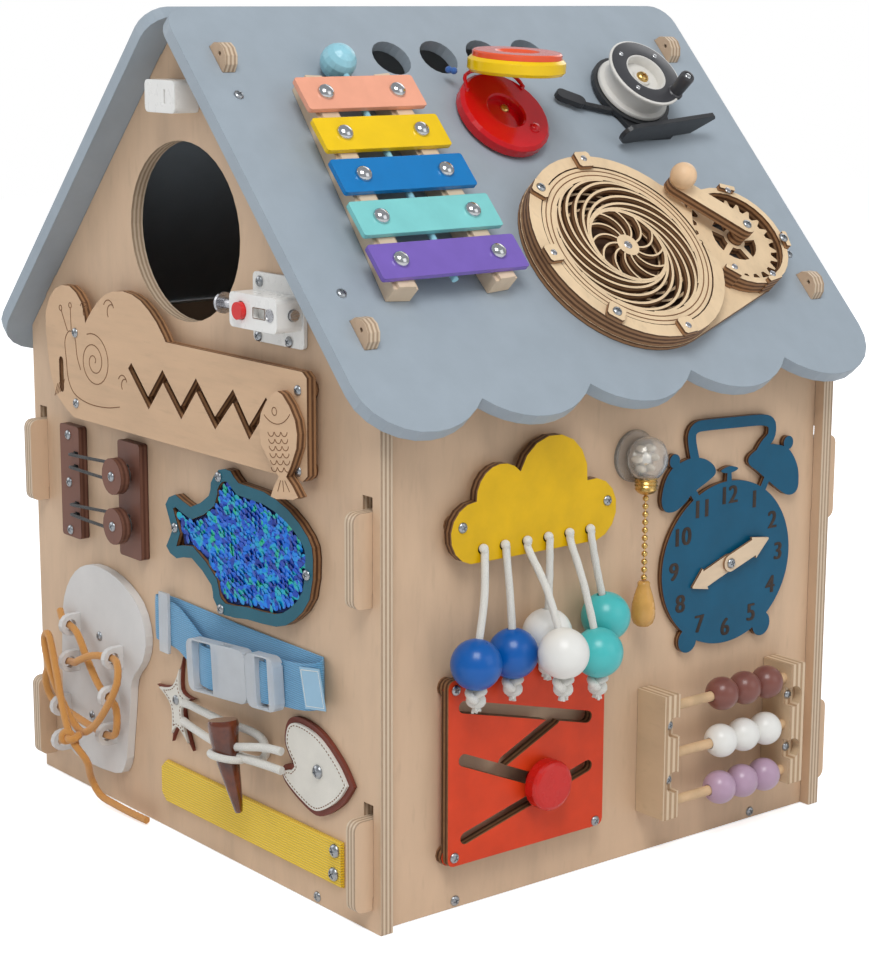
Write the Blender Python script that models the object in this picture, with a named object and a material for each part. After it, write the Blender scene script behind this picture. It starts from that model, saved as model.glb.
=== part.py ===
"""Activity house: a plywood play house with learning toys on its walls and roof.

Metres, +Z up, origin at the middle of the base. The gable with the window
faces -Y, the wall with the clock faces +X, and the roof falls to +X and -X.
"""
import math

import bmesh
import bpy
from mathutils import Matrix, Vector

# House shell
HOUSE_WIDTH = 0.362
HOUSE_DEPTH = 0.343
PLY = 0.008
GAP = 0.0003
RUN = 0.0004
OVERRUN = 0.002
WALL_RECESS = 0.007
SHOULDER_HEIGHT = 0.290
ROOF_PITCH = math.radians(47.0)
VERGE_OVERHANG = 0.019
RIDGE_SETBACK = 0.012
CUSP_DISTANCE = 0.284
EAVE_DISTANCE = 0.300
LOBE_COUNT = 5
ROOF_CORNER = 0.015
POST_HOLE_RADIUS = 0.0126
POST_HOLE_DISTANCE = 0.0515
POST_HOLE_PITCH = 0.0347
POST_HOLE_COUNT = 4
TAB_LENGTH = 0.0186
TAB_DISTANCES = (0.050, 0.237)
TAB_PEG_HOLE = 0.0014
WINDOW_HALF_WIDTH = 0.057
WINDOW_HALF_HEIGHT = 0.051
WINDOW_X = -0.002
WINDOW_Z = 0.363
TENON_HEIGHT = 0.044
TENON_BOTTOMS = (0.020, 0.188)
HOOK_DROP = 0.0075
HOOK_REACH = 0.012
HOOK_CORNER = 0.005

# Xylophone on the roof
CHIME_X = -0.1015
CHIME_FIRST = 0.0892
CHIME_PITCH = 0.0286
CHIME_COUNT = 5
CHIME_WIDTH = 0.0225
CHIME_THICKNESS = 0.003
CHIME_CORNER = 0.0015
CHIME_SHORT = 0.0805
CHIME_LONG = 0.0998
RAIL_SPREAD_TOP = 0.0246
RAIL_SPREAD_BOTTOM = 0.0333
RAIL_WIDTH = 0.0155
RAIL_HEIGHT = 0.0105
RAIL_OVERHANG = 0.004
FELT_WIDTH = 0.011
FELT_HEIGHT = 0.002
MALLET_BALL = 0.0105
MALLET_STICK = 0.0020
MALLET_DISTANCE = 0.0628
MALLET_END_DISTANCE = 0.216

# Castanet on the roof
CLACK_X = 0.001
CLACK_DISTANCE = 0.1005
CLACK_BASE_RADIUS = 0.0295
CLACK_BASE_HEIGHT = 0.009
CLACK_EDGE = 0.002
CLACK_WELL_RADIUS = 0.012
CLACK_WELL_DEPTH = 0.005
CLACK_BUMP_RADIUS = 0.003
CLACK_BUMP_HEIGHT = 0.0013
CLACK_BUMP_OFFSET = 0.0195
CLAPPER_RADIUS = 0.0285
CLAPPER_HEIGHT = 0.009
CLAPPER_CAP_RADIUS = 0.026
CLAPPER_CAP_HEIGHT = 0.0035
CLAPPER_OPEN = math.radians(42.0)
CLAPPER_ARM = 0.027
TIE_RADIUS = 0.0012
TIE_HALF_SPAN = 0.021

# Reel on the roof
REEL_X = 0.1123
REEL_DISTANCE = 0.0855
REEL_BACK_RADIUS = 0.027
REEL_BACK_HEIGHT = 0.0045
REEL_BACK_RIM = 0.0015
SPOOL_FLANGE_RADIUS = 0.0252
SPOOL_HEIGHT = 0.0168
SPOOL_CORE_RADIUS = 0.0205
SPOOL_REAR_RADIUS = 0.0242
SPOOL_LIP = 0.0025
SPOOL_WELL_RADIUS = 0.0125
SPOOL_WELL_DEPTH = 0.006
SPOOL_BOSS_RADIUS = 0.005
SPOOL_BOSS_HEIGHT = 0.0015
REEL_HANDLE_OFFSET = 0.0215
REEL_HANDLE_ANGLE = math.radians(-50.0)
REEL_HANDLE_RADIUS = 0.0046
REEL_HANDLE_HEIGHT = 0.016
REEL_FOOT_LENGTH = 0.079
REEL_FOOT_WIDTH = 0.014
REEL_FOOT_THICKNESS = 0.003
REEL_FOOT_LIFT = 0.003
REEL_FOOT_TILT = math.radians(5.5)
REEL_FOOT_X = 0.0775
REEL_FOOT_DISTANCE = 0.1235
REEL_WEB_WIDTH = 0.028
REEL_LEVER_LENGTH = 0.011
REEL_LEVER_RADIUS = 0.0038
REEL_LEVER_LIFT = 0.0027
REEL_LEVER_ARM = 0.020
REEL_LEVER_ARM_RADIUS = 0.0016

# Spiral gear train on the roof
SHEET = 0.0032
WHEEL_X = 0.0304
WHEEL_DISTANCE = 0.2042
GEAR_CENTRES = 0.0883
WHEEL_TEETH = 50
CRANK_TEETH = 24
TOOTH_ADDENDUM_SHARE = 0.80
TOOTH_DEDENDUM_SHARE = 1.05
TOOTH_TIP_SHARE = 0.105
TOOTH_ROOT_SHARE = 0.320
TOOTH_RIM = 0.007
DISC_RADIUS = 0.0562
WHEEL_CAVITY = 0.0622
CASING_RADIUS = 0.065
GEAR_CAVITY = 0.0318
GEAR_CASING_RADIUS = 0.036
CASING_LUG_WIDTH = 0.011
WHEEL_LUG_REACH = 0.0105
GEAR_LUG_REACH = 0.0065
WHEEL_LUG_FIRST = math.radians(90.0)
WHEEL_LUG_STEP = math.radians(46.5)
WHEEL_LUG_COUNT = 5
GEAR_LUG_ANGLES = (math.radians(72.0), math.radians(-13.0), math.radians(-80.0), math.radians(-131.0))
SPIRAL_BLADES = 14
SPIRAL_BLADE_WIDTH = 0.0021
SPIRAL_INNER = 0.0225
SPIRAL_OUTER = 0.0475
PETAL_BLADES = 10
PETAL_BLADE_WIDTH = 0.0014
PETAL_INNER = 0.0075
PETAL_OUTER = 0.0205
PETAL_SWEEP = math.radians(50.0)
AXLE_RADIUS = 0.0022
CRANK_WINDOW_INNER = 0.0075
CRANK_WINDOW_OUTER = 0.0155
CRANK_WINDOW_COUNT = 5
CRANK_SPOKE_WIDTH = 0.004
CRANK_ARM_LENGTH = 0.0486
CRANK_ARM_WIDTH = 0.0118
CRANK_ARM_ANGLE = math.radians(136.0)
CRANK_ARM_THICKNESS = 0.0064
CRANK_HUB_RADIUS = 0.0052
CRANK_BALL = 0.0076

# Toys on the front gable
CATCH_WIDTH = 0.031
CATCH_HEIGHT = 0.018
CATCH_DEPTH = 0.016
CATCH_X = 0.001
CATCH_Z = 0.439
CATCH_CORNER = 0.003
CATCH_SLOT_X = 0.0049
CATCH_SLOT_WIDTH = 0.0016
CATCH_SLOT_HEIGHT = 0.008
CATCH_SLOT_DEPTH = 0.006

LATCH_X = 0.0942
LATCH_Z = 0.329
LATCH_BASE_WIDTH = 0.0476
LATCH_BASE_HEIGHT = 0.038
LATCH_BASE_THICKNESS = 0.0025
LATCH_BASE_CORNER = 0.003
LATCH_BODY_WIDTH = 0.0445
LATCH_BODY_HEIGHT = 0.019
LATCH_BODY_DEPTH = 0.019
LATCH_BODY_CORNER = 0.003
LATCH_WELL_X = 0.0077
LATCH_WELL_WIDTH = 0.016
LATCH_WELL_HEIGHT = 0.006
LATCH_WELL_DEPTH = 0.004
BUTTON_X = -0.011
BUTTON_RADIUS = 0.0048
BUTTON_STAND = 0.003
BUTTON_DEPTH = 0.005
BUTTON_TRAVEL = 0.0025
BOLT_RADIUS = 0.003
BOLT_OFF = 0.0085
BOLT_LEFT = 0.0498
BOLT_RIGHT = 0.1185
BOLT_FLANGE_RADIUS = 0.006
BOLT_FLANGE_THICKNESS = 0.002

PANEL_THICKNESS = 0.006
STANDOFF = 0.004
STANDOFF_RADIUS = 0.0055
ZIGZAG_LEFT = -0.146
ZIGZAG_BOTTOM = 0.2415
ZIGZAG_LENGTH = 0.2765
ZIGZAG_HEIGHT = 0.0835
ZIGZAG_SLOT_WIDTH = 0.0052
ZIGZAG_OUTLINE_SHARES = (
    (0.115, 0.000, 1), (0.985, 0.000, 1), (1.000, 0.040, 1), (1.000, 0.670, 1), (0.985, 0.705, 1),
    (0.500, 0.705, 1), (0.465, 0.830, 0), (0.405, 0.955, 0), (0.335, 0.998, 0), (0.260, 0.950, 0),
    (0.205, 0.820, 0), (0.175, 0.715, 1), (0.160, 0.860, 0), (0.110, 0.962, 0), (0.045, 0.920, 0),
    (0.003, 0.740, 0), (0.006, 0.450, 0), (0.035, 0.150, 0),
)
ZIGZAG_PATH_SHARES = (
    (0.356, 0.483), (0.428, 0.250), (0.486, 0.463), (0.554, 0.241), (0.613, 0.459),
    (0.681, 0.231), (0.747, 0.444), (0.803, 0.226), (0.863, 0.442), (0.921, 0.245),
)
ZIGZAG_SCREW_SHARES = ((0.130, 0.629), (0.127, 0.110), (0.971, 0.581), (0.967, 0.060))
KNOB_SLOT_X_SHARE = 0.065
KNOB_SLOT_Z_SHARE = 0.299
KNOB_SLOT_LENGTH = 0.017

SLIDER_LENGTH = 0.0533
SLIDER_WIDTH = 0.038
SLIDER_THICKNESS = 0.006
SLIDER_TILT = math.radians(98.0)
SLIDER_SHIFT = 0.0065
SLIDER_STEM_RADIUS = 0.0019
SLIDER_FOOT_RADIUS = 0.0040
SLIDER_FOOT_THICKNESS = 0.0012
SLIDER_OUTLINE_SHARES = (
    (-0.385, -0.090, 1), (-0.100, -0.400, 0), (0.180, -0.430, 0), (0.440, -0.170, 0), (0.450, 0.060, 0),
    (0.250, 0.400, 0), (-0.060, 0.470, 0), (-0.385, 0.090, 1), (-0.590, 0.340, 0), (-0.610, 0.000, 0),
    (-0.590, -0.340, 0),
)

PEG_BAR_X = -0.128
KNOB_BAR_X = -0.0583
BAR_Z = 0.199
PEG_BAR_WIDTH = 0.0229
KNOB_BAR_WIDTH = 0.0247
BAR_HEIGHT = 0.0705
BAR_THICKNESS = 0.006
BAR_CORNER = 0.002
ELASTIC_RADIUS = 0.001
ELASTIC_BORE = 0.0015
ELASTIC_X = 0.006
ELASTIC_HOLES = (0.0183, 0.0101, -0.0132, -0.0198)
ELASTIC_LIFT = 0.0022
KNOB_HEIGHTS = (0.0158, -0.0145)
KNOB_RADIUS = 0.011
KNOB_STEM_RADIUS = 0.0040
KNOB_STEM_HEIGHT = 0.006
KNOB_THICKNESS = 0.006

FISH_X = 0.056
FISH_Z = 0.1933
FISH_LENGTH = 0.1475
FISH_HEIGHT = 0.085
FISH_THICKNESS = 0.0062
FISH_RIM = 0.007
FISH_PAD_THICKNESS = 0.0042
FISH_OUTLINE_SHARES = (
    (-0.500, 0.120, 0), (-0.427, 0.211, 0), (-0.317, 0.158, 0), (-0.185, 0.275, 0), (-0.170, 0.366, 0),
    (-0.113, 0.471, 0), (-0.033, 0.485, 0), (0.020, 0.420, 0), (0.186, 0.411, 0), (0.344, 0.339, 0),
    (0.467, 0.200, 0), (0.499, 0.065, 0), (0.475, -0.202, 0), (0.372, -0.379, 0), (0.258, -0.461, 0),
    (0.066, -0.483, 0), (-0.093, -0.512, 0), (-0.167, -0.420, 0), (-0.178, -0.336, 0),
    (-0.315, -0.196, 0), (-0.425, -0.235, 0), (-0.500, -0.172, 0), (-0.452, -0.045, 0),
)

SOLE_X = -0.0955
SOLE_Z = 0.0852
SOLE_WIDTH = 0.104
SOLE_HEIGHT = 0.131
SOLE_THICKNESS = 0.0055
SOLE_OUTLINE_SHARES = (
    (-0.091, 0.495, 0), (-0.300, 0.430, 0), (-0.440, 0.285, 0), (-0.480, 0.080, 0), (-0.490, -0.170, 0),
    (-0.470, -0.400, 0), (-0.350, -0.495, 0), (0.115, -0.488, 0), (0.230, -0.420, 0), (0.262, -0.310, 0),
    (0.300, -0.130, 0), (0.330, 0.010, 0), (0.450, 0.120, 0), (0.490, 0.245, 0), (0.405, 0.385, 0),
    (0.180, 0.475, 0),
)
EYE_HEIGHT = 0.0135
EYE_WIDTH = 0.0135
EYE_THICKNESS = 0.004
EYE_HOLE = 0.0038
EYE_PLACE_SHARES = (
    (-0.272, 0.182), (-0.293, -0.002), (-0.412, -0.246), (-0.412, -0.420),
    (0.216, 0.105), (0.163, -0.093), (0.124, -0.284),
)
LACE_RADIUS = 0.0024
LACE_ROUTE = (
    (-0.1390, 0.1150, 0.0100), (-0.1320, 0.1105, 0.0120), (-0.1238, 0.1090, 0.0123),
    (-0.1130, 0.1055, 0.0128), (-0.1000, 0.0900, 0.0130), (-0.0880, 0.0780, 0.0130),
    (-0.0786, 0.0732, 0.0124), (-0.0690, 0.0690, 0.0130), (-0.0660, 0.0600, 0.0140),
    (-0.0710, 0.0510, 0.0130), (-0.0826, 0.0480, 0.0124), (-0.1000, 0.0490, 0.0125),
    (-0.1220, 0.0510, 0.0125), (-0.1384, 0.0528, 0.0124), (-0.1500, 0.0570, 0.0130),
    (-0.1530, 0.0690, 0.0140), (-0.1450, 0.0800, 0.0130), (-0.1260, 0.0850, 0.0124),
    (-0.1120, 0.0880, 0.0160), (-0.1000, 0.0930, 0.0190), (-0.0880, 0.0980, 0.0165),
    (-0.0730, 0.0990, 0.0124), (-0.0620, 0.0970, 0.0150), (-0.0570, 0.0870, 0.0190),
    (-0.0640, 0.0720, 0.0220), (-0.0780, 0.0570, 0.0230), (-0.0920, 0.0500, 0.0240),
    (-0.1080, 0.0600, 0.0250), (-0.1260, 0.0800, 0.0250), (-0.1370, 0.0980, 0.0230),
    (-0.1290, 0.1030, 0.0240), (-0.1160, 0.0840, 0.0270), (-0.1010, 0.0620, 0.0310),
    (-0.0900, 0.0470, 0.0320), (-0.0850, 0.0330, 0.0250), (-0.0940, 0.0180, 0.0170),
    (-0.0900, 0.0070, 0.0130), (-0.0740, 0.0042, 0.0110), (-0.0570, 0.0034, 0.0100),
    (-0.0420, 0.0032, 0.0090),
)

STRAP_WIDTH = 0.0265
STRAP_THICKNESS = 0.0014
BUCKLE_X = 0.0150
BUCKLE_Z = 0.1165
BUCKLE_TILT = math.radians(4.6)
BUCKLE_LIFT = 0.0076
BUCKLE_THICKNESS = 0.0066
BUCKLE_HALF_HEIGHT = 0.0155
SOCKET_LENGTH = 0.060
SOCKET_BAR = 0.006
SOCKET_WINDOW = 0.020
SOCKET_WALL = 0.0022
SOCKET_SIDE_OPENING = 0.012
PLUG_LENGTH = 0.028
PLUG_BAR = 0.006
PLUG_WINDOW = 0.012
PLUG_ARM_LENGTH = 0.026
PLUG_ARM_WIDTH = 0.0035
PLUG_ARM_THICKNESS = 0.0024
PLUG_HEAD_LENGTH = 0.010
PLUG_HEAD_WIDTH = 0.0055
ADJUSTER_X = -0.0215
ADJUSTER_WIDTH = 0.0085
ADJUSTER_HEIGHT = 0.036
ADJUSTER_LIFT = 0.0050
ADJUSTER_THICKNESS = 0.0030
STRAP_ROUTE = (
    (0.0880, 0.1225, 0.0060), (0.1020, 0.1235, 0.0060), (0.1180, 0.1255, 0.0064),
    (0.1290, 0.1280, 0.0062), (0.1336, 0.1300, 0.0042), (0.1310, 0.1310, 0.0014),
    (0.1240, 0.1312, 0.0012), (0.0500, 0.1320, 0.0012), (-0.0140, 0.1335, 0.0012),
    (-0.0320, 0.1325, 0.0014), (-0.0352, 0.1322, 0.0028), (-0.0320, 0.1320, 0.0043),
    (-0.0200, 0.1315, 0.0042), (-0.0080, 0.1300, 0.0044), (0.0060, 0.1240, 0.0050),
    (0.0150, 0.1195, 0.0054), (0.0224, 0.1175, 0.0060), (0.0292, 0.1172, 0.0096),
    (0.0360, 0.1176, 0.0106),
)

CORD_RADIUS = 0.0024
PATCH_THICKNESS = 0.0042
STAR_X = -0.0158
STAR_Z = 0.0835
STAR_WIDTH = 0.0430
STAR_HEIGHT = 0.0590
STAR_SHARES = (
    (0.190, 0.500, 1), (0.150, 0.155, 0), (0.460, 0.110, 1), (0.190, -0.060, 0), (0.400, -0.445, 1),
    (0.060, -0.260, 0), (-0.130, -0.440, 1), (-0.110, -0.060, 0), (-0.500, 0.100, 1), (-0.050, 0.180, 0),
)
HEART_X = 0.1270
HEART_Z = 0.0795
HEART_WIDTH = 0.0665
HEART_HEIGHT = 0.0520
HEART_SHARES = (
    (-0.255, 0.500, 0), (0.060, 0.440, 0), (0.345, 0.210, 0), (0.500, -0.020, 0), (0.330, -0.280, 0),
    (0.030, -0.500, 0), (-0.230, -0.440, 0), (-0.480, -0.270, 0), (-0.500, -0.110, 0),
    (-0.360, -0.060, 1), (-0.460, 0.190, 0), (-0.420, 0.400, 0),
)
HORN_TOP_RADIUS = 0.0092
HORN_TIP_RADIUS = 0.0022
STAR_LOOP_ROUTE = (
    (-0.0040, 0.0860, 0.0050), (0.0060, 0.0872, 0.0064), (0.0250, 0.0868, 0.0068),
    (0.0450, 0.0862, 0.0062), (0.0640, 0.0868, 0.0052), (0.0760, 0.0850, 0.0046),
    (0.0805, 0.0790, 0.0044), (0.0760, 0.0725, 0.0046), (0.0640, 0.0700, 0.0052),
    (0.0450, 0.0702, 0.0062), (0.0250, 0.0722, 0.0068), (0.0060, 0.0742, 0.0064),
    (-0.0050, 0.0750, 0.0050),
)
HORN_CORD_ROUTES = (
    ((0.0630, 0.0790, 0.0180), (0.0740, 0.0815, 0.0150), (0.0880, 0.0836, 0.0100), (0.1000, 0.0840, 0.0075)),
    ((0.0640, 0.0745, 0.0170), (0.0740, 0.0742, 0.0140), (0.0880, 0.0734, 0.0098), (0.1000, 0.0728, 0.0075)),
)
HORN_ROUTE = (
    (0.0590, 0.0945, 0.0190), (0.0600, 0.0880, 0.0192), (0.0618, 0.0790, 0.0194),
    (0.0645, 0.0690, 0.0190), (0.0668, 0.0580, 0.0178), (0.0675, 0.0480, 0.0160),
    (0.0665, 0.0405, 0.0140),
)

YELLOW_LEFT = -0.0347
YELLOW_BOTTOM = 0.0175
YELLOW_LENGTH = 0.1832
YELLOW_HEIGHT = 0.0260
YELLOW_THICKNESS = 0.0016
YELLOW_CHAMFER = 0.005

# Toys on the right wall
CLOUD_CIRCLES = (
    (-0.110, 0.2140, 0.0170), (-0.092, 0.2320, 0.0175), (-0.055, 0.2360, 0.0250), (-0.026, 0.2150, 0.0180),
)
CLOUD_BOTTOM = 0.1973
CLOUD_HOLE = 0.0028
CLOUD_HOLE_Z = 0.2045
CLOUD_SCREWS = ((-0.119, 0.218), (-0.015, 0.219))
ROPE_RADIUS = 0.0022
BEAD_RADIUS = 0.0140
KNOT_RADIUS = 0.0040
KNOT_LENGTH = 0.008
TAIL_LENGTH = 0.006
DROPS = (
    ("drop_blue_left", -0.1057, -0.1190, 0.1455, 0.0220),
    ("drop_blue_right", -0.0905, -0.0898, 0.1457, 0.0180),
    ("drop_white_front", -0.0747, -0.0746, 0.1484, 0.0420),
    ("drop_white_back", -0.0595, -0.0622, 0.1515, 0.0144),
    ("drop_turquoise_low", -0.0441, -0.0393, 0.1402, 0.0310),
    ("drop_turquoise_high", -0.0287, -0.0187, 0.1538, 0.0144),
)

LAMP_Y = 0.0135
LAMP_Z = 0.2395
LAMP_FLANGE_RADIUS = 0.0150
LAMP_FLANGE_THICKNESS = 0.003
LAMP_RADIUS = 0.0130
LAMP_DEPTH = 0.0210
LAMP_ROUND = 0.004
COLLAR_RADIUS = 0.0067
COLLAR_LENGTH = 0.010
COLLAR_OFF = 0.0110
CHAIN_RADIUS = 0.0013
CHAIN_LENGTH = 0.0500
PULL_LENGTH = 0.0260
PULL_RADIUS = 0.0070

CLOCK_Y = 0.0875
CLOCK_Z = 0.1670
CLOCK_HALF_WIDTH = 0.0530
CLOCK_HALF_HEIGHT = 0.0490
CLOCK_THICKNESS = 0.004
CLOCK_HANDLE_WIDTH = 0.0072
CLOCK_HANDLE_SHARES = (
    (-0.700, 0.900), (-0.700, 1.480), (-0.560, 1.680), (0.480, 1.690), (0.650, 1.560), (0.650, 0.900),
)
CLOCK_BELL_RADIUS = 0.0245
CLOCK_BELL_ANGLE = math.radians(34.5)
CLOCK_BELL_LEAN = math.radians(45.0)
CLOCK_BELL_DISTANCE = 0.0568
CLOCK_NUT_RADIUS = 0.0045
CLOCK_TOP_WIDTH = 0.0155
CLOCK_TOP_HEIGHT = 0.0096
CLOCK_FOOT_RADIUS = 0.0075
CLOCK_FOOT_ANGLE = math.radians(54.0)
HUB_RADIUS = 0.0048
HAND_THICKNESS = 0.0014
HOUR_LENGTH = 0.0315
HOUR_ANGLE = math.radians(-160.0)
MINUTE_LENGTH = 0.0335
MINUTE_ANGLE = math.radians(18.8)
HAND_WIDTH = 0.0050
HAND_PIN_RADIUS = 0.0015

MAZE_LEFT = -0.1282
MAZE_BOTTOM = 0.0290
MAZE_WIDTH = 0.1137
MAZE_HEIGHT = 0.1055
MAZE_CORNER = 0.004
MAZE_SLOT_WIDTH = 0.0070
MAZE_SLOT_SHARES = (
    (0.094, 0.850, 0.887, 0.631), (0.677, 0.665, 0.341, 0.500),
    (0.095, 0.565, 0.621, 0.321), (0.893, 0.354, 0.108, 0.139),
)
MAZE_SCREW_SHARES = ((0.046, 0.948), (0.952, 0.028), (0.040, 0.044), (0.952, 0.948))
MAZE_KNOB_SLOT_INDEX = 2
MAZE_KNOB_END = 0.004
MAZE_KNOB_RADIUS = 0.0144
MAZE_KNOB_THICKNESS = 0.011
MAZE_KNOB_ROUND = 0.0025
MAZE_STEM_RADIUS = 0.0028
MAZE_FOOT_RADIUS = 0.0050
MAZE_FOOT_THICKNESS = 0.0015

ABACUS_LEFT = 0.0210
ABACUS_RIGHT = 0.1260
ABACUS_BOTTOM = 0.0260
ABACUS_HEIGHT = 0.0750
ABACUS_BLOCK = 0.0120
ABACUS_DEPTH = 0.0230
ABACUS_ROD_HEIGHTS = (0.0920, 0.0630, 0.0340)
ABACUS_ROD_RADIUS = 0.0030
ABACUS_ROD_OFF = 0.0170
ABACUS_BEAD_RADIUS = 0.0100
ABACUS_BEAD_BORE = 0.0033
ABACUS_BEAD_COUNT = 3
ABACUS_ROW_START = 0.0640

# Derived sizes of the shell
SLOPE = math.tan(ROOF_PITCH)
APEX_HEIGHT = SHOULDER_HEIGHT + HOUSE_WIDTH / 2 * SLOPE
RIDGE_HEIGHT = APEX_HEIGHT + (PLY + GAP) / math.cos(ROOF_PITCH)
WALL_X = HOUSE_WIDTH / 2 - WALL_RECESS
WALL_TOP = SHOULDER_HEIGHT + WALL_RECESS * SLOPE - GAP
GABLE_Y = HOUSE_DEPTH / 2
INNER_Y = GABLE_Y - PLY - GAP
VERGE = GABLE_Y + VERGE_OVERHANG


# General helpers
def clear_scene():
    for item in list(bpy.data.objects):
        bpy.data.objects.remove(item, do_unlink=True)


def paint(name, colour, roughness, metallic=0.0, transmission=0.0):
    material = bpy.data.materials.new(name)
    material.use_nodes = True
    shader = material.node_tree.nodes["Principled BSDF"]
    shader.inputs["Base Color"].default_value = (*colour, 1.0)
    shader.inputs["Roughness"].default_value = roughness
    shader.inputs["Metallic"].default_value = metallic
    shader.inputs["Transmission Weight"].default_value = transmission
    material.diffuse_color = (*colour, 1.0)
    return material


def face_frame(name, place, turn):
    frame = bpy.data.objects.new(name, None)
    frame.location = place
    frame.rotation_euler = turn
    bpy.context.collection.objects.link(frame)
    return frame


def add_part(name, mesh, material, frame=None, place=(0, 0, 0), turn=(0, 0, 0)):
    mesh.name = name
    mesh.materials.clear()
    mesh.materials.append(material)
    mesh.shade_smooth()
    mesh.set_sharp_from_angle(angle=math.radians(35.0))
    item = bpy.data.objects.new(name, mesh)
    item.location = place
    item.rotation_euler = turn
    item.parent = frame
    bpy.context.collection.objects.link(item)
    return item


# Outline helpers
def arc(centre, radius, start, sweep, steps):
    points = []
    for index in range(steps + 1):
        angle = start + sweep * index / steps
        points.append((centre[0] + radius * math.cos(angle), centre[1] + radius * math.sin(angle)))
    return points


def circle(radius, steps=24, centre=(0, 0)):
    return arc(centre, radius, 0, math.tau, steps)[:-1]


def ellipse(half_width, half_height, steps, centre=(0, 0)):
    ring = circle(1.0, steps)
    return [(centre[0] + half_width * x, centre[1] + half_height * y) for x, y in ring]


def rounded_box(width, height, corner, centre=(0, 0), steps=3):
    x = width / 2 - corner
    y = height / 2 - corner
    points = []
    for quarter, (sign_x, sign_y) in enumerate(((1, 1), (-1, 1), (-1, -1), (1, -1))):
        middle = (centre[0] + sign_x * x, centre[1] + sign_y * y)
        points += arc(middle, corner, quarter * math.pi / 2, math.pi / 2, steps)
    return points


def capsule(first, second, width, steps=6):
    angle = math.atan2(second[1] - first[1], second[0] - first[0])
    points = arc(second, width / 2, angle - math.pi / 2, math.pi, steps)
    points += arc(first, width / 2, angle + math.pi / 2, math.pi, steps)
    return points


def band(path, width):
    """Outline of a stroke of even width along a bent line."""
    left = []
    right = []
    for index, point in enumerate(path):
        before = Vector(path[max(index - 1, 0)])
        after = Vector(path[min(index + 1, len(path) - 1)])
        here = Vector(point)
        incoming = (here - before).normalized() if index > 0 else (after - here).normalized()
        outgoing = (after - here).normalized() if index < len(path) - 1 else incoming
        middle = (incoming + outgoing).normalized()
        normal = Vector((-middle.y, middle.x))
        reach = width / 2 / max(middle.dot(incoming), 0.4)
        left.append(tuple(here + normal * reach))
        right.append(tuple(here - normal * reach))
    return right + left[::-1]


def shaped(shares, width, height, centre=(0, 0), steps=3):
    """Smooth closed outline through shares of a width and height; a 1 marks a corner."""
    points = [Vector((x * width, y * height)) for x, y, corner in shares]
    corners = [corner for x, y, corner in shares]
    count = len(points)
    outline = []
    for index in range(count):
        start = points[index]
        end = points[(index + 1) % count]
        corner_start = corners[index]
        corner_end = corners[(index + 1) % count]
        pull_start = (end - points[index - 1]) / 2 * (1 - corner_start)
        pull_end = (points[(index + 2) % count] - start) / 2 * (1 - corner_end)
        pieces = 1 if corner_start and corner_end else steps
        for step in range(pieces):
            t = step / pieces
            point = start * (2 * t**3 - 3 * t**2 + 1) + end * (3 * t**2 - 2 * t**3)
            point = point + pull_start * (t**3 - 2 * t**2 + t) + pull_end * (t**3 - t**2)
            outline.append((centre[0] + point.x, centre[1] + point.y))
    return outline


def nearest_distance(point, outline):
    best = math.inf
    for first, second in zip(outline, outline[1:] + outline[:1]):
        start = Vector(first)
        edge = Vector(second) - start
        share = min(max((point - start).dot(edge) / edge.length_squared, 0), 1)
        best = min(best, (point - start - edge * share).length)
    return best


def inset(outline, distance):
    """The outline moved inwards, its points running anticlockwise or clockwise."""
    area = sum(a[0] * b[1] - b[0] * a[1] for a, b in zip(outline, outline[1:] + outline[:1]))
    side = 1 if area > 0 else -1
    result = []
    for index, point in enumerate(outline):
        before = Vector(outline[index - 1])
        after = Vector(outline[(index + 1) % len(outline)])
        here = Vector(point)
        incoming = (here - before).normalized()
        outgoing = (after - here).normalized()
        middle = (incoming + outgoing).normalized()
        normal = Vector((-middle.y, middle.x)) * side
        moved_point = here + normal * distance / max(middle.dot(incoming), 0.7)
        if nearest_distance(moved_point, outline) > distance * 0.96:
            result.append(tuple(moved_point))
    return result


def shifted(points, x, y):
    return [(point[0] + x, point[1] + y) for point in points]


def turned_outline(points, angle):
    cosine = math.cos(angle)
    sine = math.sin(angle)
    return [(x * cosine - y * sine, x * sine + y * cosine) for x, y in points]


# Solid helpers
def finish_mesh(bm):
    bmesh.ops.recalc_face_normals(bm, faces=bm.faces[:])
    mesh = bpy.data.meshes.new("form")
    bm.to_mesh(mesh)
    bm.free()
    return mesh


def plate(loops, low, high):
    """A flat sheet with the first loop as its outline and the others as holes."""
    bm = bmesh.new()
    for loop in loops:
        ring = [bm.verts.new((x, y, low)) for x, y in loop]
        for first, second in zip(ring, ring[1:] + ring[:1]):
            bm.edges.new((first, second))
    bmesh.ops.triangle_fill(bm, use_beauty=True, edges=bm.edges[:])
    sheet = bmesh.ops.extrude_face_region(bm, geom=bm.faces[:])
    top = [item for item in sheet["geom"] if isinstance(item, bmesh.types.BMVert)]
    bmesh.ops.translate(bm, verts=top, vec=(0, 0, high - low))
    return finish_mesh(bm)


def turned(profile, steps):
    """A solid turned about Z. The profile is (radius, height); a closed one makes a bored ring."""
    closed = profile[0][0] > 0 and profile[-1][0] > 0
    bm = bmesh.new()
    rings = []
    for radius, height in profile:
        count = steps if radius > 0 else 1
        ring = []
        for index in range(count):
            angle = math.tau * index / steps
            ring.append(bm.verts.new((radius * math.cos(angle), radius * math.sin(angle), height)))
        rings.append(ring)
    pairs = list(zip(rings, rings[1:]))
    if closed:
        pairs.append((rings[-1], rings[0]))
    for lower, upper in pairs:
        for index in range(steps):
            after = (index + 1) % steps
            corners = [lower[index % len(lower)], lower[after % len(lower)]]
            corners += [upper[after % len(upper)], upper[index % len(upper)]]
            bm.faces.new(list(dict.fromkeys(corners)))
    return finish_mesh(bm)


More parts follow.
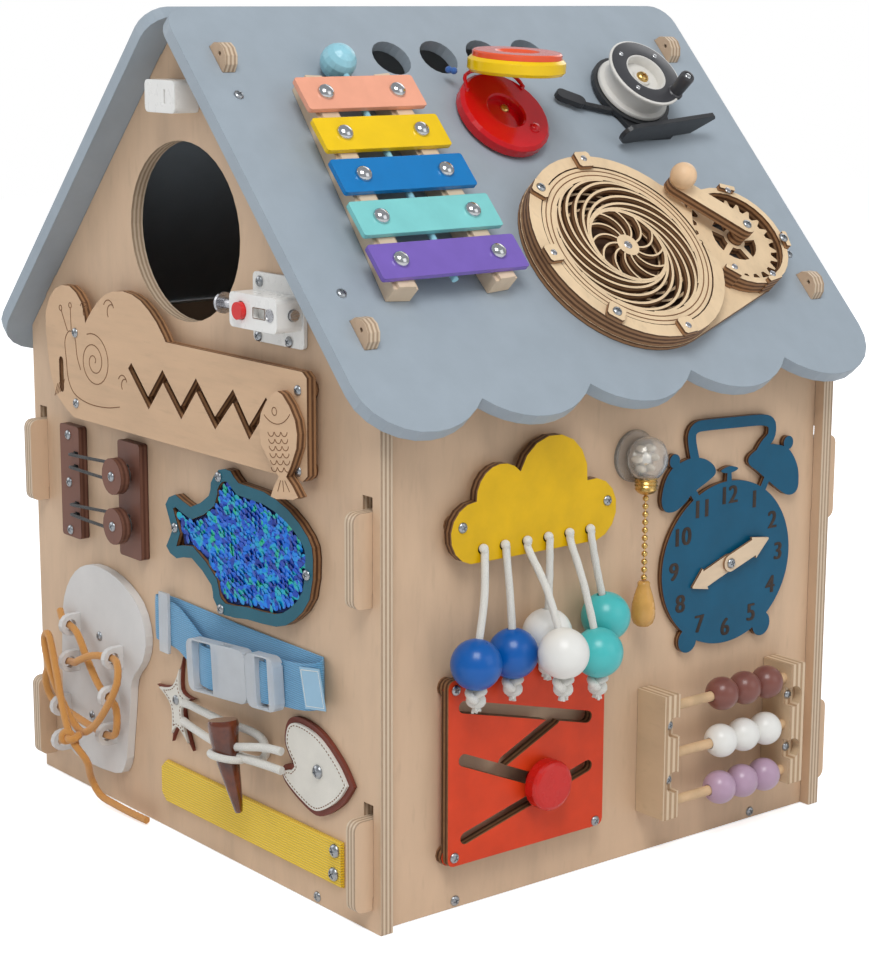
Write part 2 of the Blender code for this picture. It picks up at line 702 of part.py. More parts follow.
def ball(radius, steps, rings, centre=(0, 0, 0)):
    profile = []
    for index in range(rings + 1):
        angle = -math.pi / 2 + math.pi * index / rings
        on_axis = index in (0, rings)
        profile.append((0 if on_axis else radius * math.cos(angle), radius * math.sin(angle)))
    return moved(turned(profile, steps), Matrix.Translation(centre))


def tube(points, radii, steps):
    """A solid along a line of points, with a radius for each point or one for all."""
    places = [Vector(point) for point in points]
    if isinstance(radii, float):
        radii = [radii] * len(places)
    bm = bmesh.new()
    rings = []
    side = None
    for index, place in enumerate(places):
        before = places[max(index - 1, 0)]
        after = places[min(index + 1, len(places) - 1)]
        along = (after - before).normalized()
        if side is None:
            side = along.orthogonal().normalized()
        side = (side - along * side.dot(along)).normalized()
        other = along.cross(side)
        ring = []
        for step in range(steps):
            angle = math.tau * step / steps
            offset = side * math.cos(angle) + other * math.sin(angle)
            ring.append(bm.verts.new(place + offset * radii[index]))
        rings.append(ring)
    for lower, upper in zip(rings, rings[1:]):
        for step in range(steps):
            after = (step + 1) % steps
            bm.faces.new((lower[step], lower[after], upper[after], upper[step]))
    bm.faces.new(rings[0][::-1])
    bm.faces.new(rings[-1])
    return finish_mesh(bm)


def ribbon(points, width, thickness):
    """A flat band along points (x, height, off), its width upright."""
    path = [(x, off) for x, height, off in points]
    outline = band(path, thickness)
    count = len(points)
    heights = [height for x, height, off in points]
    heights = heights + heights[::-1]
    bm = bmesh.new()
    rings = []
    for side in (-0.5, 0.5):
        ring = []
        for (x, off), height in zip(outline, heights):
            ring.append(bm.verts.new((x, height + side * width, off)))
        rings.append(ring)
    total = 2 * count
    for ring in rings:
        for index in range(count - 1):
            partner = total - 1 - index
            bm.faces.new((ring[index], ring[index + 1], ring[partner - 1], ring[partner]))
    for index in range(total):
        after = (index + 1) % total
        bm.faces.new((rings[0][index], rings[0][after], rings[1][after], rings[1][index]))
    return finish_mesh(bm)


def moved(mesh, matrix):
    mesh.transform(matrix)
    return mesh


def smooth_line(route, count):
    """Evenly spaced points on a smooth line through the route's own points."""
    points = [Vector(point) for point in route]
    fine = []
    for index in range(len(points) - 1):
        before = points[max(index - 1, 0)]
        start = points[index]
        end = points[index + 1]
        after = points[min(index + 2, len(points) - 1)]
        for step in range(12):
            t = step / 12
            low = (end - before) / 2
            high = (after - start) / 2
            point = start * (2 * t**3 - 3 * t**2 + 1) + end * (3 * t**2 - 2 * t**3)
            fine.append(point + low * (t**3 - 2 * t**2 + t) + high * (t**3 - t**2))
    fine.append(points[-1])
    lengths = [0.0]
    for first, second in zip(fine, fine[1:]):
        lengths.append(lengths[-1] + (second - first).length)
    result = []
    place = 0
    for index in range(count):
        target = lengths[-1] * index / (count - 1)
        while place < len(fine) - 2 and lengths[place + 1] < target:
            place += 1
        part = (target - lengths[place]) / (lengths[place + 1] - lengths[place])
        result.append(fine[place].lerp(fine[place + 1], min(part, 1.0)))
    return result


def add_cord(name, points, radius, material, frame, place=(0, 0, 0)):
    curve = bpy.data.curves.new(name, "CURVE")
    curve.dimensions = "3D"
    curve.bevel_depth = radius
    curve.bevel_resolution = 2
    curve.use_fill_caps = True
    spline = curve.splines.new("POLY")
    spline.points.add(len(points) - 1)
    for item, point in zip(spline.points, points):
        item.co = (*point, 1.0)
    curve.materials.append(material)
    cord = bpy.data.objects.new(name, curve)
    cord.location = place
    cord.parent = frame
    bpy.context.collection.objects.link(cord)
    return cord


def combined(mesh, joins=(), cuts=()):
    """One body: the mesh with the joins added and the cuts taken away."""
    helpers = []
    body = bpy.data.objects.new("body", mesh)
    bpy.context.collection.objects.link(body)
    for forms, operation in ((joins, "UNION"), (cuts, "DIFFERENCE")):
        for form in forms:
            helper = bpy.data.objects.new("helper", form)
            helper.hide_render = True
            helper.display_type = "WIRE"
            bpy.context.collection.objects.link(helper)
            helpers.append(helper)
            modifier = body.modifiers.new(operation, "BOOLEAN")
            modifier.operation = operation
            modifier.solver = "EXACT"
            modifier.object = helper
    graph = bpy.context.evaluated_depsgraph_get()
    result = bpy.data.meshes.new_from_object(body.evaluated_get(graph))
    for item in helpers + [body]:
        bpy.data.objects.remove(item, do_unlink=True)
    return result


# House shell
def slope_place(distance):
    """Length down the gable's own edge for a distance down the roof's outer face."""
    return distance - (PLY + GAP) * SLOPE


def gable_outline():
    half = HOUSE_WIDTH / 2
    down = Vector((math.cos(ROOF_PITCH), -math.sin(ROOF_PITCH)))
    out = Vector((math.sin(ROOF_PITCH), math.cos(ROOF_PITCH)))
    peak = Vector((0, APEX_HEIGHT))
    right_edge = [tuple(peak)]
    for distance in TAB_DISTANCES:
        middle = peak + down * slope_place(distance)
        right_edge.append(tuple(middle - down * TAB_LENGTH / 2))
        for index in range(7):
            angle = math.pi * index / 6
            point = middle + out * (PLY + GAP)
            reach = TAB_LENGTH / 2
            point = point - down * (reach * math.cos(angle)) + out * (reach * math.sin(angle))
            right_edge.append(tuple(point))
        right_edge.append(tuple(middle + down * TAB_LENGTH / 2))
    right_edge.append((half, SHOULDER_HEIGHT))
    right_edge.append((half, 0))
    left_edge = [(-x, z) for x, z in right_edge[1:]]
    return right_edge + left_edge[::-1]


def gable_holes():
    holes = []
    down = Vector((math.cos(ROOF_PITCH), -math.sin(ROOF_PITCH)))
    out = Vector((math.sin(ROOF_PITCH), math.cos(ROOF_PITCH)))
    peak = Vector((0, APEX_HEIGHT))
    for side in (-1, 1):
        for bottom in TENON_BOTTOMS:
            height = TENON_HEIGHT + HOOK_DROP + 2 * GAP
            middle = (side * (WALL_X - PLY / 2), bottom + height / 2 - GAP)
            holes.append(rounded_box(PLY + 2 * GAP, height, GAP, middle, 1))
        for distance in TAB_DISTANCES:
            place = peak + down * slope_place(distance) + out * (PLY + GAP + TAB_LENGTH / 4)
            holes.append(circle(TAB_PEG_HOLE, 8, (side * place.x, place.y)))
    return holes


def build_gables(front, rear, wood):
    window = ellipse(WINDOW_HALF_WIDTH, WINDOW_HALF_HEIGHT, 40, (WINDOW_X, WINDOW_Z))
    front_sheet = plate([gable_outline(), window] + gable_holes(), -PLY, 0)
    rear_sheet = plate([gable_outline()] + gable_holes(), -PLY, 0)
    add_part("front_gable", front_sheet, wood, front)
    add_part("rear_gable", rear_sheet, wood, rear)


def wall_outline():
    """Wall between the gables with hooked tenons through them, as (y, z)."""
    outer = GABLE_Y + HOOK_REACH
    hook = GABLE_Y + GAP
    edge = [(INNER_Y, 0)]
    for bottom in TENON_BOTTOMS:
        top = bottom + TENON_HEIGHT
        low = bottom - HOOK_DROP
        edge += [(INNER_Y, bottom), (hook, bottom), (hook, low)]
        edge += arc((outer - HOOK_CORNER, low + HOOK_CORNER), HOOK_CORNER, -math.pi / 2, math.pi / 2, 4)
        edge += arc((outer - HOOK_CORNER, top - HOOK_CORNER), HOOK_CORNER, 0, math.pi / 2, 4)
        edge.append((INNER_Y, top))
    edge.append((INNER_Y, WALL_TOP))
    mirrored = [(-y, z) for y, z in edge]
    return edge + mirrored[::-1]


def build_walls(right, left, wood):
    add_part("right_wall", plate([wall_outline()], -PLY, 0), wood, right)
    add_part("left_wall", plate([wall_outline()], -PLY, 0), wood, left)


def build_floor(wood):
    width = 2 * (WALL_X - PLY - GAP)
    outline = rounded_box(width, 2 * INNER_Y, GAP, steps=1)
    add_part("floor_panel", plate([outline], 0, PLY), wood)


def roof_outline():
    """Roof sheet as (along the ridge, up the slope), with the scalloped eave."""
    lobe = 2 * VERGE / LOBE_COUNT
    sag = EAVE_DISTANCE - CUSP_DISTANCE
    radius = (lobe * lobe / 4 + sag * sag) / (2 * sag)
    half_angle = math.asin(lobe / 2 / radius)
    end_height = 2 * sag
    points = []
    for index in range(LOBE_COUNT):
        left = -VERGE + lobe * index
        if index == 0:
            rim = ellipse(lobe / 2, end_height, 24, (left + lobe / 2, -EAVE_DISTANCE + end_height))
            points += rim[12:18]
        if 0 < index:
            middle = (left + lobe / 2, radius - EAVE_DISTANCE)
            points += arc(middle, radius, -math.pi / 2 - half_angle, half_angle, 5)[:-1]
        if index < LOBE_COUNT - 1:
            middle = (left + lobe / 2, radius - EAVE_DISTANCE)
            points += arc(middle, radius, -math.pi / 2, half_angle, 5)[:-1]
    last = VERGE - lobe / 2
    points += ellipse(lobe / 2, end_height, 24, (last, -EAVE_DISTANCE + end_height))[18:]
    points.append((VERGE, -EAVE_DISTANCE + end_height))
    points += arc((VERGE - ROOF_CORNER, -RIDGE_SETBACK - ROOF_CORNER), ROOF_CORNER, 0, math.pi / 2, 5)
    upper_corner = (ROOF_CORNER - VERGE, -RIDGE_SETBACK - ROOF_CORNER)
    points += arc(upper_corner, ROOF_CORNER, math.pi / 2, math.pi / 2, 5)
    return points


def roof_slots():
    slots = []
    for side in (-1, 1):
        for distance in TAB_DISTANCES:
            middle = (side * (GABLE_Y - PLY / 2), -distance)
            slots.append(rounded_box(PLY + 2 * GAP, TAB_LENGTH + 2 * GAP, GAP, middle, 1))
    return slots


def build_roof(right, left, paint_roof):
    holes = []
    for index in range(POST_HOLE_COUNT):
        x = (index - (POST_HOLE_COUNT - 1) / 2) * POST_HOLE_PITCH
        holes.append(circle(POST_HOLE_RADIUS, 20, (x, -POST_HOLE_DISTANCE)))
    right_sheet = plate([roof_outline()] + roof_slots() + holes, -PLY, 0)
    left_sheet = plate([roof_outline()] + roof_slots(), -PLY, 0)
    add_part("right_roof", right_sheet, paint_roof, right)
    add_part("left_roof", left_sheet, paint_roof, left)


# Xylophone
def chime_distance(index):
    return CHIME_FIRST + CHIME_PITCH * index


def build_xylophone(roof):
    pale = paint("rail_white", (0.74, 0.70, 0.62), 0.6)
    first = chime_distance(0) - CHIME_WIDTH / 2 - RAIL_OVERHANG
    last = chime_distance(CHIME_COUNT - 1) + CHIME_WIDTH / 2 + RAIL_OVERHANG
    lean = (RAIL_SPREAD_BOTTOM - RAIL_SPREAD_TOP) / (CHIME_PITCH * (CHIME_COUNT - 1))
    spread_first = RAIL_SPREAD_TOP + lean * (first - chime_distance(0))
    spread_last = RAIL_SPREAD_TOP + lean * (last - chime_distance(0))
    for side, name in ((-1, "rail_left"), (1, "rail_right")):
        ends = ((side * spread_first, -first), (side * spread_last, -last))
        wood = plate([band(ends, RAIL_WIDTH)], GAP, GAP + RAIL_HEIGHT)
        felt = plate([band(ends, FELT_WIDTH)], GAP + RAIL_HEIGHT / 2, GAP + RAIL_HEIGHT + FELT_HEIGHT)
        add_part(name, combined(wood, [felt]), pale, roof, (CHIME_X, 0, 0))
    coral = (0.88, 0.39, 0.26)
    yellow = (0.90, 0.63, 0.0)
    blue = (0.0, 0.235, 0.56)
    turquoise = (0.22, 0.62, 0.61)
    purple = (0.19, 0.115, 0.47)
    seat = GAP + RAIL_HEIGHT + FELT_HEIGHT + GAP
    for index, colour in enumerate((coral, yellow, blue, turquoise, purple)):
        length = CHIME_SHORT + (CHIME_LONG - CHIME_SHORT) * index / (CHIME_COUNT - 1)
        outline = rounded_box(length, CHIME_WIDTH, CHIME_CORNER, steps=2)
        chime = plate([outline], 0, CHIME_THICKNESS)
        colour_paint = paint("chime_paint_%d" % (index + 1), colour, 0.3)
        add_part("chime_%d" % (index + 1), chime, colour_paint, roof, (CHIME_X, -chime_distance(index), seat))
    stick_length = MALLET_END_DISTANCE - MALLET_DISTANCE
    stick = tube([(0, 0, 0), (0, -stick_length, 0)], MALLET_STICK, 10)
    mallet = combined(ball(MALLET_BALL, 18, 9), [stick])
    place = (CHIME_X, -MALLET_DISTANCE, MALLET_BALL + GAP)
    add_part("mallet", mallet, paint("mallet_blue", (0.30, 0.52, 0.72), 0.35), roof, place)


# Castanet
def build_castanet(roof):
    height = GAP + CLACK_BASE_HEIGHT
    inner = CLACK_BASE_RADIUS - CLACK_EDGE
    well = CLACK_WELL_RADIUS
    profile = [(0, GAP), (inner, GAP), (CLACK_BASE_RADIUS, GAP + CLACK_EDGE)]
    profile += [(CLACK_BASE_RADIUS, height - CLACK_EDGE), (inner, height), (well + CLACK_EDGE / 2, height)]
    well_floor = height - CLACK_WELL_DEPTH
    profile += [(well, height - CLACK_EDGE / 2), (well, well_floor), (0, well_floor)]
    base = turned(profile, 28)
    bump_place = (CLACK_BUMP_OFFSET * math.cos(math.pi / 4), -CLACK_BUMP_OFFSET * math.sin(math.pi / 4))
    bump = plate([circle(CLACK_BUMP_RADIUS, 12, bump_place)], height - CLACK_EDGE, height + CLACK_BUMP_HEIGHT)
    hinge = (0, CLACK_BASE_RADIUS + CLAPPER_ARM - CLAPPER_RADIUS + TIE_RADIUS, height + TIE_RADIUS)
    span = TIE_HALF_SPAN
    low = height - CLACK_EDGE
    lower_end = (span, hinge[1] - CLAPPER_RADIUS / 2, low)
    side = [lower_end, (span, hinge[1] / 2 + CLACK_EDGE, height + TIE_RADIUS)]
    side += [(span * 0.86, hinge[1] - 2 * CLACK_EDGE, hinge[2]), (span * 0.4, hinge[1], hinge[2])]
    route = [(-x, y, z) for x, y, z in side] + side[::-1]
    tie = tube(smooth_line(route, 19), TIE_RADIUS, 6)
    red = paint("clack_red", (0.58, 0.01, 0.02), 0.25)
    place = (CLACK_X, -CLACK_DISTANCE, 0)
    add_part("castanet_base", combined(base, [bump, tie]), red, roof, place)

    under = TIE_RADIUS + RUN
    top = under + CLAPPER_HEIGHT
    inner = CLAPPER_RADIUS - CLACK_EDGE
    profile = [(0, under), (inner, under), (CLAPPER_RADIUS, under + CLACK_EDGE)]
    profile += [(CLAPPER_RADIUS, top - CLACK_EDGE), (inner, top), (CLAPPER_CAP_RADIUS, top)]
    profile += [(CLAPPER_CAP_RADIUS, top + CLAPPER_CAP_HEIGHT), (0, top + CLAPPER_CAP_HEIGHT)]
    clapper = moved(turned(profile, 28), Matrix.Translation((0, -CLAPPER_ARM, 0)))
    yellow = paint("clack_yellow", (0.80, 0.52, 0.0), 0.25)
    place = (CLACK_X, -CLACK_DISTANCE + hinge[1], hinge[2])
    add_part("castanet_clapper", clapper, yellow, roof, place, (-CLAPPER_OPEN, 0, 0))


# Reel
def build_reel(roof):
    black = paint("reel_black", (0.035, 0.035, 0.04), 0.4)
    white = paint("reel_white", (0.72, 0.70, 0.66), 0.35)
    base = GAP
    height = base + REEL_BACK_HEIGHT
    rim = REEL_BACK_RADIUS - REEL_BACK_RIM
    profile = [(0, base), (rim, base), (REEL_BACK_RADIUS, base + REEL_BACK_RIM), (REEL_BACK_RADIUS, height)]
    back = turned(profile + [(0, height)], 32)
    foot_end = REEL_FOOT_LENGTH - REEL_FOOT_WIDTH / 2
    half = REEL_FOOT_WIDTH / 2
    foot_outline = arc((half, 0), half, math.pi / 2, math.pi, 8)
    foot_outline += [(foot_end - half, -half), (REEL_FOOT_LENGTH, half * 0.6)]
    foot_outline += [(REEL_FOOT_LENGTH - half / 3, half)]
    foot = plate([foot_outline], -REEL_FOOT_THICKNESS / 2, REEL_FOOT_THICKNESS / 2)
    upright = Matrix.Rotation(math.pi / 2, 4, "X")
    tilt = Matrix.Rotation(REEL_FOOT_TILT, 4, "Z")
    foot_x = REEL_FOOT_X - REEL_X
    foot_y = REEL_DISTANCE - REEL_FOOT_DISTANCE
    place = Matrix.Translation((foot_x, foot_y, REEL_FOOT_LIFT + half))
    foot = moved(foot, place @ tilt @ upright)
    web_y = foot_y + REEL_FOOT_THICKNESS
    web_outline = [(-rim, 0), (-REEL_WEB_WIDTH / 2, web_y), (REEL_WEB_WIDTH / 2, web_y), (rim, 0)]
    web = plate([web_outline], base, height - REEL_BACK_RIM)
    end = (-REEL_BACK_RADIUS - REEL_LEVER_ARM, -REEL_BACK_RADIUS / 4)
    tip = (end[0] - REEL_LEVER_LENGTH, end[1] + REEL_LEVER_LENGTH / 2)
    grip_top = REEL_LEVER_LIFT + REEL_LEVER_RADIUS
    grip = plate([capsule(end, tip, 2 * REEL_LEVER_RADIUS)], REEL_LEVER_LIFT, grip_top)
    arm_outline = band([end, (-rim, -rim / 2), (-rim / 2, -rim / 2)], 2 * REEL_LEVER_ARM_RADIUS)
    arm = plate([arm_outline], REEL_LEVER_LIFT / 2, REEL_LEVER_LIFT + REEL_LEVER_ARM_RADIUS)
    frame = combined(back, [web, foot, arm, grip])
    add_part("reel_frame", frame, black, roof, (REEL_X, -REEL_DISTANCE, 0))

    top = SPOOL_HEIGHT
    lip = SPOOL_LIP
    well = SPOOL_WELL_RADIUS
    profile = [(0, 0), (SPOOL_REAR_RADIUS, 0), (SPOOL_REAR_RADIUS, lip / 2), (SPOOL_CORE_RADIUS, lip * 1.5)]
    profile += [(SPOOL_CORE_RADIUS, top - 2 * lip), (SPOOL_FLANGE_RADIUS, top - lip / 2)]
    profile += [(SPOOL_FLANGE_RADIUS, top), (well, top), (well - lip / 4, top - SPOOL_WELL_DEPTH)]
    profile += [(SPOOL_BOSS_RADIUS, top - SPOOL_WELL_DEPTH)]
    boss_top = top - SPOOL_WELL_DEPTH + SPOOL_BOSS_HEIGHT
    profile += [(SPOOL_BOSS_RADIUS, boss_top), (0, boss_top)]
    spool = turned(profile, 32)
    place = polar(REEL_HANDLE_OFFSET, REEL_HANDLE_ANGLE)
    radius = REEL_HANDLE_RADIUS
    rise = REEL_HANDLE_HEIGHT
    handle_profile = [(0, -lip), (radius * 0.8, -lip), (radius * 0.8, lip), (radius, rise - lip)]
    handle = turned(handle_profile + [(radius * 0.85, rise), (0, rise)], 14)
    handle = moved(handle, Matrix.Translation((*place, top)))
    add_part("reel_spool", combined(spool, [handle]), white, roof, (REEL_X, -REEL_DISTANCE, height + GAP))


# Spiral gear train
def tooth_ring(teeth, pitch_radius):
    """Outline of a spiked gear: four points for each tooth."""
    step = math.tau / teeth
    module = 2 * pitch_radius / teeth
    tip = pitch_radius + TOOTH_ADDENDUM_SHARE * module
    root = pitch_radius - TOOTH_DEDENDUM_SHARE * module
    points = []
    for index in range(teeth):
        middle = step * index
        for radius, share in ((root, -TOOTH_ROOT_SHARE), (tip, -TOOTH_TIP_SHARE)):
            angle = middle + share * step * pitch_radius / radius
            points.append((radius * math.cos(angle), radius * math.sin(angle)))
        for radius, share in ((tip, TOOTH_TIP_SHARE), (root, TOOTH_ROOT_SHARE)):
            angle = middle + share * step * pitch_radius / radius
            points.append((radius * math.cos(angle), radius * math.sin(angle)))
    return points


def polar(radius, angle):
    return (radius * math.cos(angle), radius * math.sin(angle))


def spiral_windows():
    """Openings between blades that run from the inner to the outer circle, touching both."""
    blade_radius = (SPIRAL_INNER + SPIRAL_OUTER) / 2
    blade_centre = (SPIRAL_OUTER - SPIRAL_INNER) / 2
    step = math.tau / SPIRAL_BLADES
    samples = []
    for index in range(1, 60):
        along = math.pi * index / 60
        x = -blade_centre + blade_radius * math.cos(along)
        y = blade_radius * math.sin(along)
        radius = math.hypot(x, y)
        hub_angle = math.atan2(y, x)
        heading = along + math.pi / 2
        lean = math.sin(heading - hub_angle)
        slant = max(abs(math.cos(heading - hub_angle)), 0.05)
        half = SPIRAL_BLADE_WIDTH / 2 / (radius * slant)
        if lean > 0 and 2 * half < step:
            samples.append((radius, hub_angle, half))
    chosen = [samples[round(i * (len(samples) - 1) / 5)] for i in range(6)]
    windows = []
    for blade in range(SPIRAL_BLADES):
        start = step * blade
        first = [polar(radius, start + angle + half) for radius, angle, half in chosen]
        second = [polar(radius, start + step + angle - half) for radius, angle, half in chosen]
        windows.append(first + second[::-1])
    return windows


def petal_windows():
    step = math.tau / PETAL_BLADES
    windows = []
    for blade in range(PETAL_BLADES):
        first = []
        second = []
        for index in range(4):
            share = index / 3
            radius = PETAL_INNER + (PETAL_OUTER - PETAL_INNER) * share
            angle = step * blade - PETAL_SWEEP * share * share
            half = PETAL_BLADE_WIDTH / 2 / radius
            first.append(polar(radius, angle + half))
            second.append(polar(radius, angle + step - half))
        windows.append(first + second[::-1])
    return windows


def lug(centre, angle, reach, outer, low, high):
    """A tongue on the casing's rim that reaches in over the wheel."""
    along = outer - reach / 2
    outline = rounded_box(reach, CASING_LUG_WIDTH, reach / 8, steps=1)
    outline = turned_outline(shifted(outline, along, 0), angle)
    return plate([shifted(outline, *centre)], low, high)


def build_gear_train(roof):
    ply = paint("laser_ply", (0.78, 0.58, 0.36), 0.6)
    wheel_share = WHEEL_TEETH / (WHEEL_TEETH + CRANK_TEETH)
    wheel_pitch = GEAR_CENTRES * wheel_share
    crank_pitch = GEAR_CENTRES - wheel_pitch
    gear_at = (GEAR_CENTRES, 0)
    floor = GAP + SHEET
    rim_top = floor + 3 * SHEET
    wheel_low = floor + RUN
    wheel_top = rim_top - RUN
    tooth_top = floor + 2 * SHEET

    lean = math.asin((CASING_RADIUS - GEAR_CASING_RADIUS) / GEAR_CENTRES)
    base_outline = arc((0, 0), CASING_RADIUS, math.pi / 2 - lean, math.pi + 2 * lean, 32)
    base_outline += arc(gear_at, GEAR_CASING_RADIUS, -math.pi / 2 + lean, math.pi - 2 * lean, 16)
    base = plate([base_outline], GAP, floor)
    big = plate([circle(CASING_RADIUS - GAP, 48)], GAP + SHEET / 2, rim_top)
    small = plate([circle(GEAR_CASING_RADIUS - GAP, 32, gear_at)], GAP + SHEET / 2, rim_top)
    lugs = []
    for index in range(WHEEL_LUG_COUNT):
        angle = WHEEL_LUG_FIRST + WHEEL_LUG_STEP * index
        outer = CASING_RADIUS + GAP
        lugs.append(lug((0, 0), angle, WHEEL_LUG_REACH, outer, rim_top - SHEET / 4, rim_top + SHEET))
    for angle in GEAR_LUG_ANGLES:
        outer = GEAR_CASING_RADIUS + GAP
        lugs.append(lug(gear_at, angle, GEAR_LUG_REACH / 2, outer, floor - SHEET / 2, rim_top + SHEET))
    room_floor = floor + RUN / 4
    tooth_room = plate([circle(WHEEL_CAVITY, 48)], room_floor, tooth_top + SHEET / 4)
    disc_room = plate([circle(DISC_RADIUS + 2 * RUN, 48)], floor + SHEET, rim_top + RUN / 4)
    gear_room = plate([circle(GEAR_CAVITY, 32, gear_at)], room_floor, rim_top + 2 * SHEET)
    wheel_axle = plate([circle(AXLE_RADIUS, 12)], GAP + SHEET / 2, wheel_top + RUN)
    crank_axle = plate([circle(AXLE_RADIUS, 12, gear_at)], GAP + SHEET / 2, tooth_top)
    casing = combined(base, [big, small] + lugs, [tooth_room, disc_room, gear_room])
    casing = combined(casing, [wheel_axle, crank_axle])
    place = (WHEEL_X, -WHEEL_DISTANCE, 0)
    add_part("gear_casing", casing, ply, roof, place)

    bore = circle(AXLE_RADIUS + RUN, 12)
    root = wheel_pitch * (1 - 2 * TOOTH_DEDENDUM_SHARE / WHEEL_TEETH)
    rim_hole = circle(root - TOOTH_RIM, 24)
    teeth = plate([tooth_ring(WHEEL_TEETH, wheel_pitch), rim_hole], wheel_low, tooth_top - SHEET / 4)
    disc_holes = [bore] + petal_windows() + spiral_windows()
    disc = plate([circle(DISC_RADIUS, 48)] + disc_holes, tooth_top - SHEET / 2, wheel_top)
    add_part("spiral_wheel", combined(teeth, [disc]), ply, roof, place)

    phase = math.pi / CRANK_TEETH
    crank_outline = turned_outline(tooth_ring(CRANK_TEETH, crank_pitch), math.pi + phase)
    windows = []
    step = math.tau / CRANK_WINDOW_COUNT
    for index in range(CRANK_WINDOW_COUNT):
        trim_in = CRANK_SPOKE_WIDTH / 2 / CRANK_WINDOW_INNER
        trim_out = CRANK_SPOKE_WIDTH / 2 / CRANK_WINDOW_OUTER
        start = step * index
        window = arc((0, 0), CRANK_WINDOW_OUTER, start + trim_out, step - 2 * trim_out, 4)
        window += arc((0, 0), CRANK_WINDOW_INNER, start + step - trim_in, 2 * trim_in - step, 2)
        windows.append(window)
    gear_low = wheel_low
    gear_top = tooth_top - SHEET / 4
    gear = plate([crank_outline] + windows, gear_low, gear_top)
    arm_low = rim_top + SHEET + RUN
    arm_high = arm_low + CRANK_ARM_THICKNESS
    end = polar(CRANK_ARM_LENGTH, CRANK_ARM_ANGLE)
    arm = plate([capsule((0, 0), end, CRANK_ARM_WIDTH, 8)], arm_low, arm_high)
    hub = plate([circle(CRANK_HUB_RADIUS, 16)], gear_top - SHEET / 4, arm_low + SHEET / 4)
    hub_room = plate([circle(AXLE_RADIUS + RUN, 12)], gear_low - OVERRUN, tooth_top + RUN)
    knob_place = (end[0], end[1], arm_high + CRANK_BALL * 0.8)
    knob = ball(CRANK_BALL, 14, 7, knob_place)
    crank = combined(combined(gear, [hub, arm, knob]), [], [hub_room])
    place = (WHEEL_X + GEAR_CENTRES, -WHEEL_DISTANCE, 0)
    add_part("crank_gear", crank, ply, roof, place)


# Catch and latch
def build_catch(front):
    white = paint("catch_white", (0.80, 0.79, 0.76), 0.35)
    body = plate([rounded_box(CATCH_WIDTH, CATCH_HEIGHT, CATCH_CORNER)], GAP, CATCH_DEPTH)
    outline = rounded_box(CATCH_SLOT_WIDTH, CATCH_SLOT_HEIGHT, CATCH_SLOT_WIDTH / 4, (CATCH_SLOT_X, 0), 1)
    slot = plate([outline], CATCH_DEPTH - CATCH_SLOT_DEPTH, CATCH_DEPTH + OVERRUN)
    add_part("ridge_catch", combined(body, [], [slot]), white, front, (CATCH_X, CATCH_Z, 0))


def build_latch(front):
    white = paint("latch_white", (0.80, 0.79, 0.76), 0.35)
    steel = paint("latch_steel", (0.55, 0.55, 0.56), 0.25, 1.0)
    red = paint("latch_red", (0.55, 0.02, 0.02), 0.3)
    corner = LATCH_BASE_CORNER
    base = plate([rounded_box(LATCH_BASE_WIDTH, LATCH_BASE_HEIGHT, corner)], GAP, LATCH_BASE_THICKNESS)
    outline = rounded_box(LATCH_BODY_WIDTH, LATCH_BODY_HEIGHT, LATCH_BODY_CORNER)
    body = plate([outline], LATCH_BASE_THICKNESS / 2, LATCH_BODY_DEPTH)
    well_corner = LATCH_WELL_HEIGHT / 6
    well_outline = rounded_box(LATCH_WELL_WIDTH, LATCH_WELL_HEIGHT, well_corner, (LATCH_WELL_X, 0), 1)
    well = plate([well_outline], LATCH_BODY_DEPTH - LATCH_WELL_DEPTH, LATCH_BODY_DEPTH + OVERRUN)
    button_low = LATCH_BODY_DEPTH - BUTTON_DEPTH
    pocket = circle(BUTTON_RADIUS + GAP, 20, (BUTTON_X, 0))
    button_room = plate([pocket], button_low - BUTTON_TRAVEL - GAP, LATCH_BODY_DEPTH + OVERRUN)
    across = Matrix.Rotation(math.pi / 2, 4, "Y")
    tunnel = plate([circle(BOLT_RADIUS + GAP, 16)], -LATCH_BASE_WIDTH, LATCH_BASE_WIDTH)
    tunnel = moved(tunnel, Matrix.Translation((0, 0, BOLT_OFF)) @ across)
    housing = combined(base, [body], [well, button_room, tunnel])
    add_part("latch_housing", housing, white, front, (LATCH_X, LATCH_Z, 0))
    button = plate([circle(BUTTON_RADIUS, 20)], -BUTTON_DEPTH, BUTTON_STAND)
    add_part("latch_button", button, red, front, (LATCH_X + BUTTON_X, LATCH_Z, LATCH_BODY_DEPTH))
    length = BOLT_RIGHT - BOLT_LEFT
    flange = BOLT_FLANGE_THICKNESS
    profile = [(0, 0), (BOLT_FLANGE_RADIUS, 0), (BOLT_FLANGE_RADIUS, flange), (BOLT_RADIUS, flange)]
    bolt = turned(profile + [(BOLT_RADIUS, length), (0, length)], 20)
    add_part("latch_bolt", moved(bolt, across), steel, front, (BOLT_LEFT, LATCH_Z, BOLT_OFF))


# Zigzag panel with its slider
def standoffs(places):
    discs = []
    for place in places:
        discs.append(plate([circle(STANDOFF_RADIUS, 12, place)], GAP, STANDOFF + PANEL_THICKNESS / 4))
    return discs


def share_places(shares, width, height):
    return [(x * width, y * height) for x, y in shares]


